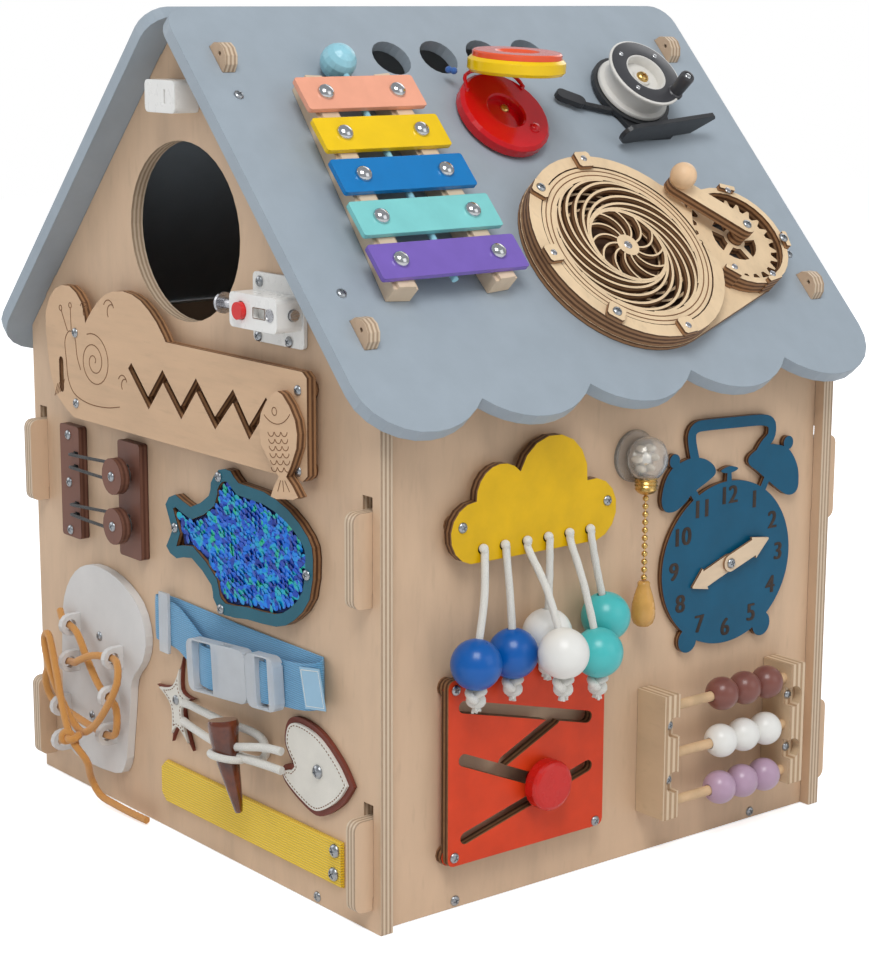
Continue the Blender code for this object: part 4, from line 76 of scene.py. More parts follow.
# Materials
class Look:
    """A Principled material with short calls for its texture nodes."""

    def __init__(self, name, colour, roughness=0.5, metallic=0.0):
        self.material = bpy.data.materials.new(name)
        self.material.use_nodes = True
        self.nodes = self.material.node_tree.nodes
        self.links = self.material.node_tree.links
        self.shader = self.nodes["Principled BSDF"]
        self.where = self.nodes.new("ShaderNodeTexCoord")
        self.normal = None
        self.material.diffuse_color = (*colour, 1.0)
        self.set(Base_Color=(*colour, 1.0), Roughness=roughness, Metallic=metallic)

    def node(self, kind, inputs, output, **settings):
        """A new node whose inputs are plain values or links; returns one of its outputs."""
        item = self.nodes.new(kind)
        for key, value in settings.items():
            setattr(item, key, value)
        for key, value in inputs.items():
            if isinstance(value, bpy.types.NodeSocket):
                self.links.new(value, item.inputs[key])
            else:
                item.inputs[key].default_value = value
        return item.outputs[output]

    def set(self, **values):
        for key, value in values.items():
            self.shader.inputs[key.replace("_", " ")].default_value = value

    def place(self, scale):
        size = scale if isinstance(scale, tuple) else (scale, scale, scale)
        inputs = {"Vector": self.where.outputs["Object"], "Scale": size}
        return self.node("ShaderNodeMapping", inputs, "Vector")

    def noise(self, scale, detail=3.0, roughness=0.55, distortion=0.0):
        inputs = {"Vector": self.place(scale), "Scale": 1.0, "Detail": detail, "Roughness": roughness}
        return self.node("ShaderNodeTexNoise", {**inputs, "Distortion": distortion}, "Fac")

    def wave(self, scale, axis):
        inputs = {"Vector": self.place(1.0), "Scale": scale}
        return self.node("ShaderNodeTexWave", inputs, "Fac", wave_type="BANDS", bands_direction=axis)

    def ramp(self, value, stops):
        colour = self.node("ShaderNodeValToRGB", {"Fac": value}, "Color")
        points = colour.node.color_ramp.elements
        while len(points) < len(stops):
            points.new(0.5)
        for point, (place, tone) in zip(points, stops):
            point.position = place
            point.color = (*tone, 1.0)
        return colour

    def mix(self, share, first, second):
        inputs = {0: share}
        for key, value in ((6, first), (7, second)):
            inputs[key] = (*value, 1.0) if isinstance(value, tuple) else value
        return self.node("ShaderNodeMix", inputs, 2, data_type="RGBA")

    def maths(self, operation, first, second=0.0):
        return self.node("ShaderNodeMath", {0: first, 1: second}, 0, operation=operation)

    def along(self, direction, output="Object"):
        inputs = {0: self.where.outputs[output], 1: direction}
        return self.node("ShaderNodeVectorMath", inputs, "Value", operation="DOT_PRODUCT")

    def spread(self, value, low, high):
        return self.node("ShaderNodeMapRange", {"Value": value, "To Min": low, "To Max": high}, "Result")

    def tilt(self, kind, inputs, **settings):
        self.normal = self.node(kind, inputs, "Normal", **settings)
        self.links.new(self.normal, self.shader.inputs["Normal"])

    def bump(self, height, strength, distance=0.0005):
        inputs = {"Strength": strength, "Distance": distance, "Height": height}
        if self.normal:
            inputs["Normal"] = self.normal
        self.tilt("ShaderNodeBump", inputs)

    def soften(self, radius):
        self.tilt("ShaderNodeBevel", {"Radius": radius}, samples=4)

    def base(self, socket):
        self.links.new(socket, self.shader.inputs["Base Color"])

    def rough(self, value, low, high):
        self.links.new(self.spread(value, low, high), self.shader.inputs["Roughness"])


def shade(colour, factor):
    return tuple(min(channel * factor, 1.0) for channel in colour)


def cloudy(look, value, colour, low, high):
    look.base(look.ramp(value, ((0.3, shade(colour, low)), (0.7, shade(colour, high)))))


def show_layers(look, front, normal, tones, places, worn, layers, thickness, start=0.0):
    """The front on faces along a sheet, and the layers of its plywood on faces across it."""
    light, dark = tones
    depth = look.maths("SUBTRACT", look.along(normal), start)
    layer = look.maths("FRACT", look.maths("MULTIPLY", depth, layers / 2 / thickness))
    edge = look.ramp(layer, tuple(zip(places, (light, dark, dark, light))))
    edge = look.mix(worn[0], edge, worn[1])
    facing = look.maths("ABSOLUTE", look.along(normal, "Normal"))
    look.base(look.mix(look.maths("LESS_THAN", facing, 0.6), front, edge))
    look.set(Specular_IOR_Level=0.3)


def sheet_wood(name, normal, grain, face, tones, layers, thickness, roughness=0.42, start=0.0):
    """Varnished plywood with a grained face."""
    look = Look(name, face, roughness)
    look.soften(0.0004)
    fine = look.noise(grain, 6.0, 0.6)
    broad = look.noise(tuple(size / 6 for size in grain), 3.0, 0.5, 0.6)
    flow = look.mix(0.4, fine, broad)
    front = look.ramp(flow, ((0.3, shade(face, 0.86)), (0.48, face), (0.62, shade(face, 1.06))))
    pores = look.noise(tuple(size * 3 for size in grain), 2.0)
    pores = look.ramp(pores, ((0.6, (0, 0, 0)), (0.72, (0.22, 0.22, 0.22))))
    front = look.mix(pores, front, shade(face, 0.72))
    worn = (look.spread(look.noise(420.0), 0.0, 0.45), shade(tones[0], 0.8))
    show_layers(look, front, normal, tones, (0.42, 0.5, 0.92, 1.0), worn, layers, thickness, start)
    look.rough(fine, roughness - 0.06, roughness + 0.12)
    look.bump(fine, 0.12, 0.0003)
    return look.material


def painted_sheet(name, normal, colour, thickness=0.006, roughness=0.35):
    """A painted front on laser-cut plywood with burnt edges."""
    look = Look(name, colour, roughness)
    look.soften(0.0003)
    front = look.ramp(look.noise(55.0, 4.0), ((0.3, shade(colour, 0.9)), (0.7, shade(colour, 1.07))))
    worn = (look.spread(look.noise(300.0, 4.0), 0.1, 0.7), shade(BURNT[1], 0.6))
    show_layers(look, front, normal, BURNT, (0.4, 0.5, 0.9, 1.0), worn, 4, thickness)
    look.rough(look.noise(140.0, 4.0), roughness - 0.08, roughness + 0.1)
    look.bump(look.noise(900.0), 0.06, 0.0002)
    return look.material


def paint(name, colour, roughness=0.3, coat=0.0, spread=0.05, bump=0.05, grain=700.0):
    look = Look(name, colour, roughness)
    look.soften(0.0005)
    cloudy(look, look.noise(60.0, 4.0), colour, 1 - spread, 1 + spread)
    look.rough(look.noise(180.0, 4.0), max(roughness - 0.07, 0.02), roughness + 0.09)
    look.bump(look.noise(grain), bump, 0.0002)
    look.set(Coat_Weight=coat * 0.6, Coat_Roughness=0.1, Specular_IOR_Level=0.38)
    return look.material


def metal(name, colour, roughness):
    look = Look(name, colour, roughness, 1.0)
    streak = look.noise((900.0, 160.0, 900.0))
    cloudy(look, streak, colour, 0.86, 1.05)
    look.rough(streak, roughness - 0.06, roughness + 0.12)
    return look.material


def woven(look, colour, threads, fuzz_scale, share, low, high, bumps, **sheen):
    """Threads with fuzz over them, with painted shade in their hollows and painted light on their crowns."""
    fuzz = look.noise(fuzz_scale)
    # The low stop darkens the hollows as painted shade, the high stop lightens the crowns as painted light
    stops = ((low[0], shade(colour, low[1])), (0.5, colour), (high[0], shade(colour, high[1])))
    look.base(look.ramp(look.mix(share, threads, fuzz), stops))
    look.bump(threads, *bumps[0])
    look.bump(fuzz, *bumps[1])
    look.set(**sheen)
    return look.material


def webbing(name, colour, ribs, cross, depth=0.0005):
    """Woven band: ribs along it crossed by weft threads."""
    look = Look(name, colour, 0.85)
    weave = look.maths("MULTIPLY", look.wave(ribs, "Z"), look.spread(look.wave(cross, "X"), 0.45, 1.0))
    bumps = ((0.55, depth), (0.2, 0.0002))
    sheen = {"Sheen_Weight": 0.35, "Sheen_Roughness": 0.5}
    # (0.1, 0.62) and (0.9, 1.18) give the painted shade in the hollows and the painted light on the ribs
    return woven(look, colour, weave, 1500.0, 0.35, (0.1, 0.62), (0.9, 1.18), bumps, **sheen)


def cord_look(name, colour, scale):
    look = Look(name, colour, 0.85)
    strands = look.wave(scale, "DIAGONAL")
    bumps = ((0.5, 0.0004), (0.25, 0.0002))
    # (0.15, 0.66) and (0.85, 1.15) give the painted shade in the hollows and the painted light on the strands
    return woven(look, colour, strands, 1600.0, 0.4, (0.15, 0.66), (0.85, 1.15), bumps, Sheen_Weight=0.3)


def glassy(name, colour, roughness, transmission):
    look = Look(name, colour, roughness)
    look.soften(0.0006)
    look.set(Transmission_Weight=transmission, IOR=1.46)
    cloud = look.noise(90.0)
    cloudy(look, cloud, colour, 0.95, 1.03)
    look.rough(cloud, max(roughness - 0.04, 0.0), roughness + 0.05)
    return look.material


def sequin_look(name, colour, roughness):
    """Each cell of a Voronoi pattern takes its own tone of blue or green."""
    look = Look(name, colour, roughness, 0.25)
    cell = look.node("ShaderNodeTexVoronoi", {"Vector": look.place(260.0), "Scale": 1.0}, "Color")
    red = look.node("ShaderNodeSeparateColor", {"Color": cell}, "Red")
    tones = ((0.0, 0.03, 0.3), (0.0, 0.09, 0.62), (0.0, 0.22, 0.85), (0.0, 0.4, 0.62), (0.0, 0.5, 0.26))
    look.base(look.ramp(red, tuple(zip((0.0, 0.3, 0.6, 0.82, 1.0), tones))))
    return look.material


BIRCH = (0.64, 0.45, 0.3)
BURNT = ((0.36, 0.19, 0.09), (0.075, 0.028, 0.012))
EDGE = ((0.68, 0.54, 0.39), (0.36, 0.235, 0.15))
BROWN_EDGE = ((0.17, 0.075, 0.05), (0.085, 0.032, 0.02))
HOLDER_EDGE = ((0.7, 0.54, 0.37), (0.4, 0.24, 0.13))
FACING_FRONT = (0, 1, 0)
FACING_SIDE = (1, 0, 0)

# For each maker: the look's name and the maker's own values
LOOKS = {
    sheet_wood: (
        ("gable", FACING_FRONT, (60, 900, 14), BIRCH, EDGE, 6, PLY, 0.42, HOUSE_DEPTH / 2),
        ("wall", FACING_SIDE, (900, 60, 14), BIRCH, EDGE, 6, PLY, 0.42, WALL_X),
        ("floor", (0, 0, 1), (20, 90, 900), BIRCH, EDGE, 6, PLY),
        ("front_laser", FACING_FRONT, (18, 900, 130), (0.63, 0.42, 0.26), BURNT, 4, 0.006, 0.5),
        ("right_laser", FACING_SIDE, (900, 30, 120), (0.72, 0.55, 0.38), BURNT, 4, 0.004, 0.5),
        ("roof_laser", ROOF_NORMAL, (60, 90, 60), (0.78, 0.585, 0.37), BURNT, 4, 0.0064, 0.5),
        ("holder", FACING_FRONT, (30, 900, 60), (0.6, 0.44, 0.28), HOLDER_EDGE, 6, 0.012),
        ("brown", FACING_FRONT, (60, 900, 20), (0.19, 0.082, 0.056), BROWN_EDGE, 4, 0.006, 0.45),
    ),
    painted_sheet: (
        ("teal", FACING_FRONT, (0.004, 0.105, 0.155)),
        ("cloud", FACING_SIDE, (0.72, 0.43, 0.0)),
        ("clock", FACING_SIDE, (0.001, 0.085, 0.165), 0.004),
        ("maze", FACING_SIDE, (0.66, 0.048, 0.008)),
    ),
    paint: (
        ("rod", (0.62, 0.42, 0.24), 0.5, 0.0, 0.16, 0.2, 500.0),
        ("tip_wood", (0.74, 0.5, 0.3), 0.45, 0.1, 0.14, 0.15, 420.0),
        ("roof", (0.335, 0.39, 0.44), 0.42, 0.05, 0.035, 0.08, 260.0),
        ("rail", (0.72, 0.56, 0.4), 0.5, 0.0, 0.08, 0.2),
        ("coral", (0.88, 0.39, 0.255), 0.22, 0.25),
        ("yellow", (0.88, 0.57, 0.0), 0.22, 0.25),
        ("blue", (0.0, 0.185, 0.5), 0.22, 0.25),
        ("turquoise", (0.22, 0.62, 0.61), 0.22, 0.25),
        ("purple", (0.19, 0.115, 0.47), 0.22, 0.25),
        ("mallet", (0.3, 0.6, 0.7), 0.28, 0.3),
        ("red", (0.58, 0.001, 0.006), 0.16, 0.5),
        ("clap_yellow", (0.88, 0.57, 0.0), 0.18, 0.5),
        ("orange", (0.8, 0.1, 0.03), 0.18, 0.5),
        ("black", (0.028, 0.029, 0.032), 0.35, 0.1),
        ("ring", (0.05, 0.05, 0.055), 0.3, 0.2),
        ("spool", (0.7, 0.68, 0.635), 0.3, 0.2),
        ("plastic", (0.83, 0.82, 0.79), 0.28, 0.2, 0.02, 0.03),
        ("button", (0.66, 0.02, 0.02), 0.22, 0.3),
        ("knob", (0.58, 0.012, 0.008), 0.25, 0.3),
        ("bead_blue", (0.0, 0.1, 0.4), 0.3, 0.25),
        ("bead_white", (0.8, 0.79, 0.75), 0.32, 0.2, 0.02),
        ("bead_turquoise", (0.07, 0.5, 0.5), 0.3, 0.25),
        ("mauve", (0.21, 0.075, 0.058), 0.3, 0.3),
        ("lilac", (0.46, 0.31, 0.42), 0.3, 0.3),
        ("pull", (0.6, 0.32, 0.08), 0.25, 0.4, 0.18, 0.1),
        ("foam", (0.66, 0.64, 0.62), 0.7, 0.0, 0.03, 0.25, 420.0),
        ("cream", (0.72, 0.69, 0.62), 0.6, 0.0, 0.05, 0.5, 900.0),
        ("oxblood", (0.17, 0.035, 0.02), 0.5, 0.0, 0.1, 0.3),
        ("burn_line", (0.2, 0.085, 0.03), 0.75, 0.0, 0.2),
        # dark: painted shade standing in the small holes of the roof and the peg bar
        ("dark", (0.012, 0.011, 0.01), 0.8),
        ("horn", (0.11, 0.02, 0.004), 0.09, 1.6, 0.6, 0.0),
        ("sequin_cloth", (0.003, 0.02, 0.12), 0.8, 0.0, 0.3, 0.4),
        # Dark discs on the recess floors under the spiral wheel and the crank gear are painted shade
        ("burnt", (0.06, 0.026, 0.012), 0.75, 0.0, 0.4, 0.3),
        ("charcoal", (0.045, 0.04, 0.038), 0.6, 0.0, 0.2, 0.2),
        # Cut-through numerals: partly the burnt walls of the cuts, partly painted shade inside them
        ("dark_burn", (0.045, 0.03, 0.022), 0.7, 0.0, 0.3, 0.2),
        ("tag", (0.3, 0.5, 0.66), 0.4, 0.1, 0.03, 0.1),
        ("lamp_led", (0.78, 0.7, 0.58), 0.15, 0.6, 0.1, 0.02),
    ),
    metal: (
        ("steel", (0.5, 0.5, 0.52), 0.24),
        ("zinc", (0.42, 0.44, 0.46), 0.28),
        ("brass", (0.72, 0.47, 0.16), 0.24),
        ("chrome", (0.62, 0.63, 0.64), 0.12),
        ("lamp_core", (0.8, 0.78, 0.74), 0.18),
    ),
    cord_look: (
        ("tie", (0.04, 0.14, 0.45), 700.0),
        ("rope", (0.8, 0.78, 0.72), 950.0),
        ("lace", (0.66, 0.3, 0.07), 620.0),
        ("elastic", (0.02, 0.02, 0.02), 1500.0),
        ("stitch", (0.82, 0.8, 0.74), 1800.0),
    ),
    webbing: (
        ("strap", (0.12, 0.36, 0.6), 260.0, 420.0),
        ("yellow_strap", (0.92, 0.6, 0.004), 210.0, 330.0, 0.0007),
    ),
    glassy: (
        ("buckle", (0.78, 0.81, 0.84), 0.3, 0.5),
        ("glass", (0.95, 0.94, 0.92), 0.08, 0.9),
        ("plastic_clear", (0.86, 0.83, 0.78), 0.15, 0.85),
    ),
    sequin_look: (
        ("sequin", (0.0, 0.12, 0.62), 0.35),
    ),
}
M = {row[0]: maker(*row) for maker, rows in LOOKS.items() for row in rows}

# Looks of the CAD nodes
DRESSING = {
    "gable": "front_gable rear_gable", "wall": "right_wall left_wall", "floor": "floor_panel",
    "roof": "right_roof left_roof", "rail": "rail_left rail_right", "coral": "chime_1", "yellow": "chime_2",
    "blue": "chime_3", "turquoise": "chime_4", "purple": "chime_5", "mallet": "mallet",
    "red": "castanet_base", "clap_yellow": "castanet_clapper", "black": "reel_frame", "spool": "reel_spool",
    "roof_laser": "gear_casing spiral_wheel crank_gear", "plastic": "latch_housing ridge_catch",
    "steel": "latch_bolt", "button": "latch_button", "front_laser": "zigzag_panel fish_slider",
    "brown": "peg_bar knob_bar", "elastic": "elastic_cord", "teal": "fish_frame", "sequin": "sequin_pad",
    "foam": "lacing_sole", "lace": "shoe_lace", "strap": "blue_strap", "buckle": "buckle_socket buckle_plug",
    "cream": "star_patch heart_patch", "horn": "toggle_horn", "yellow_strap": "yellow_strap",
    "cloud": "cloud_panel", "bead_blue": "drop_blue_left drop_blue_right",
    "bead_white": "drop_white_front drop_white_back bead_row_2",
    "bead_turquoise": "drop_turquoise_low drop_turquoise_high", "glass": "lamp", "pull": "lamp_pull",
    "clock": "clock_dial", "right_laser": "hour_hand minute_hand", "maze": "maze_panel", "knob": "maze_knob",
    "holder": "abacus_frame", "mauve": "bead_row_1", "lilac": "bead_row_3",
}
for look_name, node_names in DRESSING.items():
    for node_name in node_names.split():
        node_materials = bpy.data.objects[node_name].data.materials
        node_materials.clear()
        node_materials.append(M[look_name])


# Points and lines
def polar(radius, angle, centre=(0, 0)):
    return (centre[0] + radius * math.cos(angle), centre[1] + radius * math.sin(angle))


def circle(radius, steps=16, centre=(0, 0)):
    return [polar(radius, math.tau * index / steps, centre) for index in range(steps)]


def arc_points(centre, radius, start, sweep, steps):
    return [polar(radius, start + sweep * index / steps, centre) for index in range(steps + 1)]


def flat_vectors(points):
    return [Vector((*point, 0)) for point in points]


def hermite(start, end, pull_start, pull_end, t):
    point = start * (2 * t**3 - 3 * t**2 + 1) + end * (3 * t**2 - 2 * t**3)
    return point + pull_start * (t**3 - 2 * t**2 + t) + pull_end * (t**3 - t**2)


def smooth_line(route, count):
    """Evenly spaced points on a smooth line through a route."""
    points = [Vector(point) for point in route]
    last = len(points) - 1
    fine = []
    for index in range(last):
        start, end = points[index:index + 2]
        pull_start = (end - points[max(index - 1, 0)]) / 2
        pull_end = (points[min(index + 2, last)] - start) / 2
        fine += [hermite(start, end, pull_start, pull_end, step / 12) for step in range(12)]
    fine.append(points[-1])
    lengths = [0.0]
    for first, second in zip(fine, fine[1:]):
        lengths.append(lengths[-1] + (second - first).length)
    result = []
    place = 0
    for index in range(count):
        target = lengths[-1] * index / (count - 1)
        while place < len(fine) - 2 and lengths[place + 1] < target:
            place += 1
        part = (target - lengths[place]) / (lengths[place + 1] - lengths[place])
        result.append(fine[place].lerp(fine[place + 1], min(part, 1.0)))
    return result


def shaped(shares, width, height, centre, steps=6):
    """Smooth closed outline through shares of a width and height; a 1 marks a corner."""
    points = [Vector((x * width, y * height)) for x, y, corner in shares]
    corners = [corner for x, y, corner in shares]
    count = len(points)
    outline = []
    for index in range(count):
        after = (index + 1) % count
        start = points[index]
        end = points[after]
        pull_start = (end - points[index - 1]) / 2 * (1 - corners[index])
        pull_end = (points[(index + 2) % count] - start) / 2 * (1 - corners[after])
        pieces = 1 if corners[index] and corners[after] else steps
        for step in range(pieces):
            point = hermite(start, end, pull_start, pull_end, step / pieces)
            outline.append((centre[0] + point.x, centre[1] + point.y))
    return outline


def closed_line(points, count):
    """One smooth turn through a closed row of points."""
    around = flat_vectors(points)
    line = smooth_line(around[-2:] + around + around[:3], 3 * count)
    half = len(line) // 2

    def distance(index):
        return (line[index] - around[0]).length

    start = min(range(half), key=distance)
    end = min(range(half, len(line)), key=distance)
    return [(point.x, point.y) for point in line[start:end]]


def scaled(outline, factor, centre):
    return [(centre[0] + (x - centre[0]) * factor, centre[1] + (y - centre[1]) * factor) for x, y in outline]


def route_length(points):
    return sum((second - first).length for first, second in zip(points, points[1:]))


def heading(points, index):
    """Direction of a line at one of its points."""
    return (points[min(index + 1, len(points) - 1)] - points[max(index - 1, 0)]).normalized()


def sides(points, width):
    """The left and the right edge of a flat line with a width."""
    flat = [Vector(point[:2]) for point in points]
    left = []
    right = []
    for index, point in enumerate(flat):
        along = heading(flat, index)
        across = Vector((-along.y, along.x)) * width / 2
        left.append(tuple(point + across))
        right.append(tuple(point - across))
    return left, right


def band(points, width):
    """Closed outline of a band with straight ends along points."""
    left, right = sides(points, width)
    return left + right[::-1]


def inset(outline, distance):
    """The outline moved inwards, without the points that come too near to it."""
    points = [Vector(point) for point in outline]
    loop = points[1:] + points[:1]
    side = 1 if sum(a.cross(b) for a, b in zip(points, loop)) > 0 else -1
    fine = []
    for first, second in zip(points, loop):
        steps = max(int((second - first).length / 0.0006), 1)
        fine += [first.lerp(second, step / steps) for step in range(steps)]
    result = []
    for index, point in enumerate(fine):
        along = (fine[(index + 1) % len(fine)] - fine[index - 1]).normalized()
        moved = point + Vector((-along.y, along.x)) * side * distance
        if min((moved - other).length for other in fine) > distance * 0.985:
            result.append((moved.x, moved.y))
    return result


def stitches(outline, pitch=0.0026, size=0.0013, grain=0.0004):
    """Short dashes along a closed outline."""
    points = flat_vectors(outline + outline[:1])
    line = smooth_line(points, int(route_length(points) / grain))
    step = max(int(pitch / grain), 2)
    marks = []
    for index in range(0, len(line) - step, step):
        along = (line[index + 1] - line[index]).normalized() * size / 2
        centre = line[index]
        marks.append([(centre.x - along.x, centre.y - along.y), (centre.x + along.x, centre.y + along.y)])
    return marks


# Meshes
def finish_mesh(bm, outward=True):
    if outward:
        bmesh.ops.recalc_face_normals(bm, faces=bm.faces[:])
    mesh = bpy.data.meshes.new("form")
    bm.to_mesh(mesh)
    bm.free()
    return mesh


def plate(loops, low, high):
    """A flat sheet with outlines and holes from closed loops."""
    bm = bmesh.new()
    for loop in loops:
        ring = [bm.verts.new((x, y, low)) for x, y in loop]
        for first, second in zip(ring, ring[1:] + ring[:1]):
            bm.edges.new((first, second))
    bmesh.ops.triangle_fill(bm, use_beauty=True, edges=bm.edges[:])
    sheet = bmesh.ops.extrude_face_region(bm, geom=bm.faces[:])
    top = [item for item in sheet["geom"] if isinstance(item, bmesh.types.BMVert)]
    bmesh.ops.translate(bm, verts=top, vec=(0, 0, high - low))
    return finish_mesh(bm)


def skinned(rows, closed=False, capped=False):
    """A mesh over rings of points; a ring of one point is a tip."""
    bm = bmesh.new()
    rings = [[bm.verts.new(point) for point in row] for row in rows]
    steps = max(len(ring) for ring in rings)
    pairs = list(zip(rings, rings[1:]))
    if closed:
        pairs.append((rings[-1], rings[0]))
    for lower, upper in pairs:
        if len(lower) == len(upper) == 1:
            continue
        for index in range(steps):
            after = (index + 1) % steps
            corners = [lower[index % len(lower)], lower[after % len(lower)]]
            corners += [upper[after % len(upper)], upper[index % len(upper)]]
            bm.faces.new(list(dict.fromkeys(corners)))
    if capped:
        bm.faces.new(rings[0][::-1])
        bm.faces.new(rings[-1])
    return finish_mesh(bm)


def turned(profile, steps=24):
    """A profile turned about Z; it is a closed ring where both its ends lie off the axis."""
    rows = []
    for radius, height in profile:
        count = steps if radius > 0 else 1
        rows.append([(*polar(radius, math.tau * index / steps), height) for index in range(count)])
    return skinned(rows, profile[0][0] > 0 and profile[-1][0] > 0)


def disc(radius, height, steps):
    return turned([(0, 0), (radius, 0), (radius, height), (0, height)], steps)


def flat_ring(inner, outer, low, high, steps=96):
    return turned([(inner, low), (outer, low), (outer, high), (inner, high)], steps)


def dome_mesh(radius, height, steps=24, rings=6):
    profile = [(0, 0), (radius, 0)]
    for index in range(rings + 1):
        angle = math.pi / 2 * index / rings
        profile.append((radius * math.cos(angle), height * (0.12 + 0.88 * math.sin(angle))))
    profile[-1] = (0, height)
    return turned(profile, steps)


def ball_mesh(radius, steps=32, rings=16, bore=0.0):
    """A ball, solid or with a bore through it along Z."""
    start = math.asin(bore / radius)
    profile = []
    for index in range(rings + 1):
        angle = start + (math.pi - 2 * start) * index / rings
        profile.append((radius * math.sin(angle), -radius * math.cos(angle)))
    if not bore:
        profile[0] = (0, -radius)
        profile[-1] = (0, radius)
    return turned(profile, steps)


def tube(points, radii, steps=10, twist=0.0, lobes=0, lobe_depth=0.0):
    """Solid along points; lobes and twist turn it into a laid rope."""
    places = [Vector(point) for point in points]
    if isinstance(radii, float):
        radii = [radii] * len(places)
    rows = []
    run = 0.0
    side = heading(places, 0).orthogonal().normalized()
    for index, place in enumerate(places):
        along = heading(places, index)
        side = (side - along * side.dot(along)).normalized()
        other = along.cross(side)
        if index:
            run += (place - places[index - 1]).length
        row = []
        for step in range(steps):
            angle = math.tau * step / steps
            radius = radii[index] * (1 + lobe_depth * (math.cos(lobes * (angle + twist * run)) - 1) / 2)
            row.append(place + (side * math.cos(angle) + other * math.sin(angle)) * radius)
        rows.append(row)
    return skinned(rows, capped=True)


def knot_mesh(radius, thickness):
    """A small overhand knot as a closed tube on a trefoil line."""
    line = []
    for index in range(49):
        t = math.tau * index / 48
        x = (math.sin(t) + 2 * math.sin(2 * t)) / 3
        y = (math.cos(t) - 2 * math.cos(2 * t)) / 3
        line.append((x * radius, y * radius * 0.8, -math.sin(3 * t) * radius * 0.42))
    return tube(line, thickness)


def strip(points, width, thickness, across=8):
    """A woven band along points, its width upright, with rounded selvedges."""
    rows = []
    for index, place in enumerate(points):
        along = heading(points, index)
        out = Vector((-along.z, 0, along.x)).normalized()
        row = []
        for side in (1, -1):
            for step in range(across + 1):
                share = step / across if side > 0 else 1 - step / across
                edge = 1 - abs(2 * share - 1) ** 6
                lift = side * thickness / 2 * (0.45 + 0.55 * edge)
                row.append(place + Vector((0, (share - 0.5) * width, 0)) + out * lift)
        rows.append(row)
    return skinned(rows, capped=True)


def stroke(points, width, low, high):
    """A flat raised line along two-dimensional points."""
    rows = []
    for left, right in zip(*sides(points, width)):
        rows.append([(*left, low), (*right, low), (*right, high), (*left, high)])
    return skinned(rows, capped=True)


def joined(parts):
    """One mesh from (mesh, matrix) pairs."""
    bm = bmesh.new()
    for mesh, matrix in parts:
        copy = mesh.copy()
        copy.transform(matrix)
        bm.from_mesh(copy)
        bpy.data.meshes.remove(copy)
    return finish_mesh(bm, False)


def gathered(meshes, place):
    return joined([(mesh, place) for mesh in meshes])


def repeated(mesh, spots):
    return joined([(mesh, spot) for spot in spots])


def linked(name, data):
    item = bpy.data.objects.new(name, data)
    bpy.context.collection.objects.link(item)
    return item


def evaluated(helpers):
    """The finished mesh of the first helper; all helpers are removed."""
    graph = bpy.context.evaluated_depsgraph_get()
    mesh = bpy.data.meshes.new_from_object(helpers[0].evaluated_get(graph))
    for item in helpers:
        bpy.data.objects.remove(item, do_unlink=True)
    return mesh


def combined(meshes, operation):
    """The first mesh with the others joined to it or cut out of it."""
    helpers = [linked("helper", mesh) for mesh in meshes]
    for helper in helpers[1:]:
        modifier = helpers[0].modifiers.new("combine", "BOOLEAN")
        modifier.operation = operation
        modifier.solver = "EXACT"
        modifier.object = helper
    return evaluated(helpers)


def text_mesh(text, size, depth):
    data = bpy.data.curves.new("numeral", "FONT")
    data.body = text
    data.size = size
    data.extrude = depth / 2
    data.align_x = "CENTER"
    data.align_y = "CENTER"
    return evaluated([linked("numeral", data)])


# Pieces
def place_at(surface, x, y, off=0.0, spin=0.0):
    return surface @ Matrix.Translation((x, y, off)) @ Matrix.Rotation(spin, 4, "Z")


def piece(name, mesh, material, matrix=None, body="house", angle=35.0, replaces=()):
    """A visible piece that rides on a body and may stand for CAD nodes."""
    mesh = mesh.copy()
    if matrix is not None:
        mesh.transform(matrix)
    mesh.name = name
    mesh.materials.clear()
    mesh.materials.append(M[material])
    mesh.shade_smooth()
    mesh.set_sharp_from_angle(angle=math.radians(angle))
    item = linked(name, mesh)
    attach(item, body)
    if replaces:
        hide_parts(*replaces)
    return item


def screw_mesh(radius, height):
    """Pan head with a cross recess."""
    shares = ((0.0, 0.0), (1.0, 0.0), (1.0, 0.18), (0.93, 0.45), (0.76, 0.76), (0.45, 0.96), (0.0, 1.0))
    head = turned([(radius * wide, height * high) for wide, high in shares])
    arm = radius * 0.58
    half = radius * 0.11
    cross = [(half, half), (arm, half), (arm, -half), (half, -half), (half, -arm), (-half, -arm)]
    cross += [(-half, -half), (-arm, -half), (-arm, half), (-half, half), (-half, arm), (half, arm)]
    return combined([head, plate([cross], height * 0.45, height * 1.5)], "DIFFERENCE")


SCREW_TURN = 0.35
SCREW_TURN_STEP = 1.9
ROPE_TWIST = 900.0
LOBE_DEPTH = 0.12
SCREW = screw_mesh(0.003, 0.0015)
BIG_SCREW = screw_mesh(0.004, 0.0024)


def screws(name, surface, places, off=0.0, body="house", material="zinc", mesh=SCREW):
    """Screw heads at one height over a surface, each turned a little further."""
    spots = []
    for index, (x, y) in enumerate(places):
        spots.append(place_at(surface, x, y, off, SCREW_TURN + index * SCREW_TURN_STEP))
    return piece(name, repeated(mesh, spots), material, None, body)


def engraving(name, surface, off, lines, width=0.0006, body="house"):
    strokes = [stroke(line, width, off - 0.0001, off + 0.00015) for line in lines]
    return piece(name, gathered(strokes, surface), "burn_line", None, body)


def soft_cord(
    name, surface, route, count, radius, material, body, lobes=0,
):
    """A cord along a route on a surface."""
    points = [surface @ point for point in smooth_line(route, count)]
    mesh = tube(points, radius, 14, ROPE_TWIST, lobes, LOBE_DEPTH if lobes else 0.0)
    item = piece(name, mesh, material, None, body, 60.0)
    return item


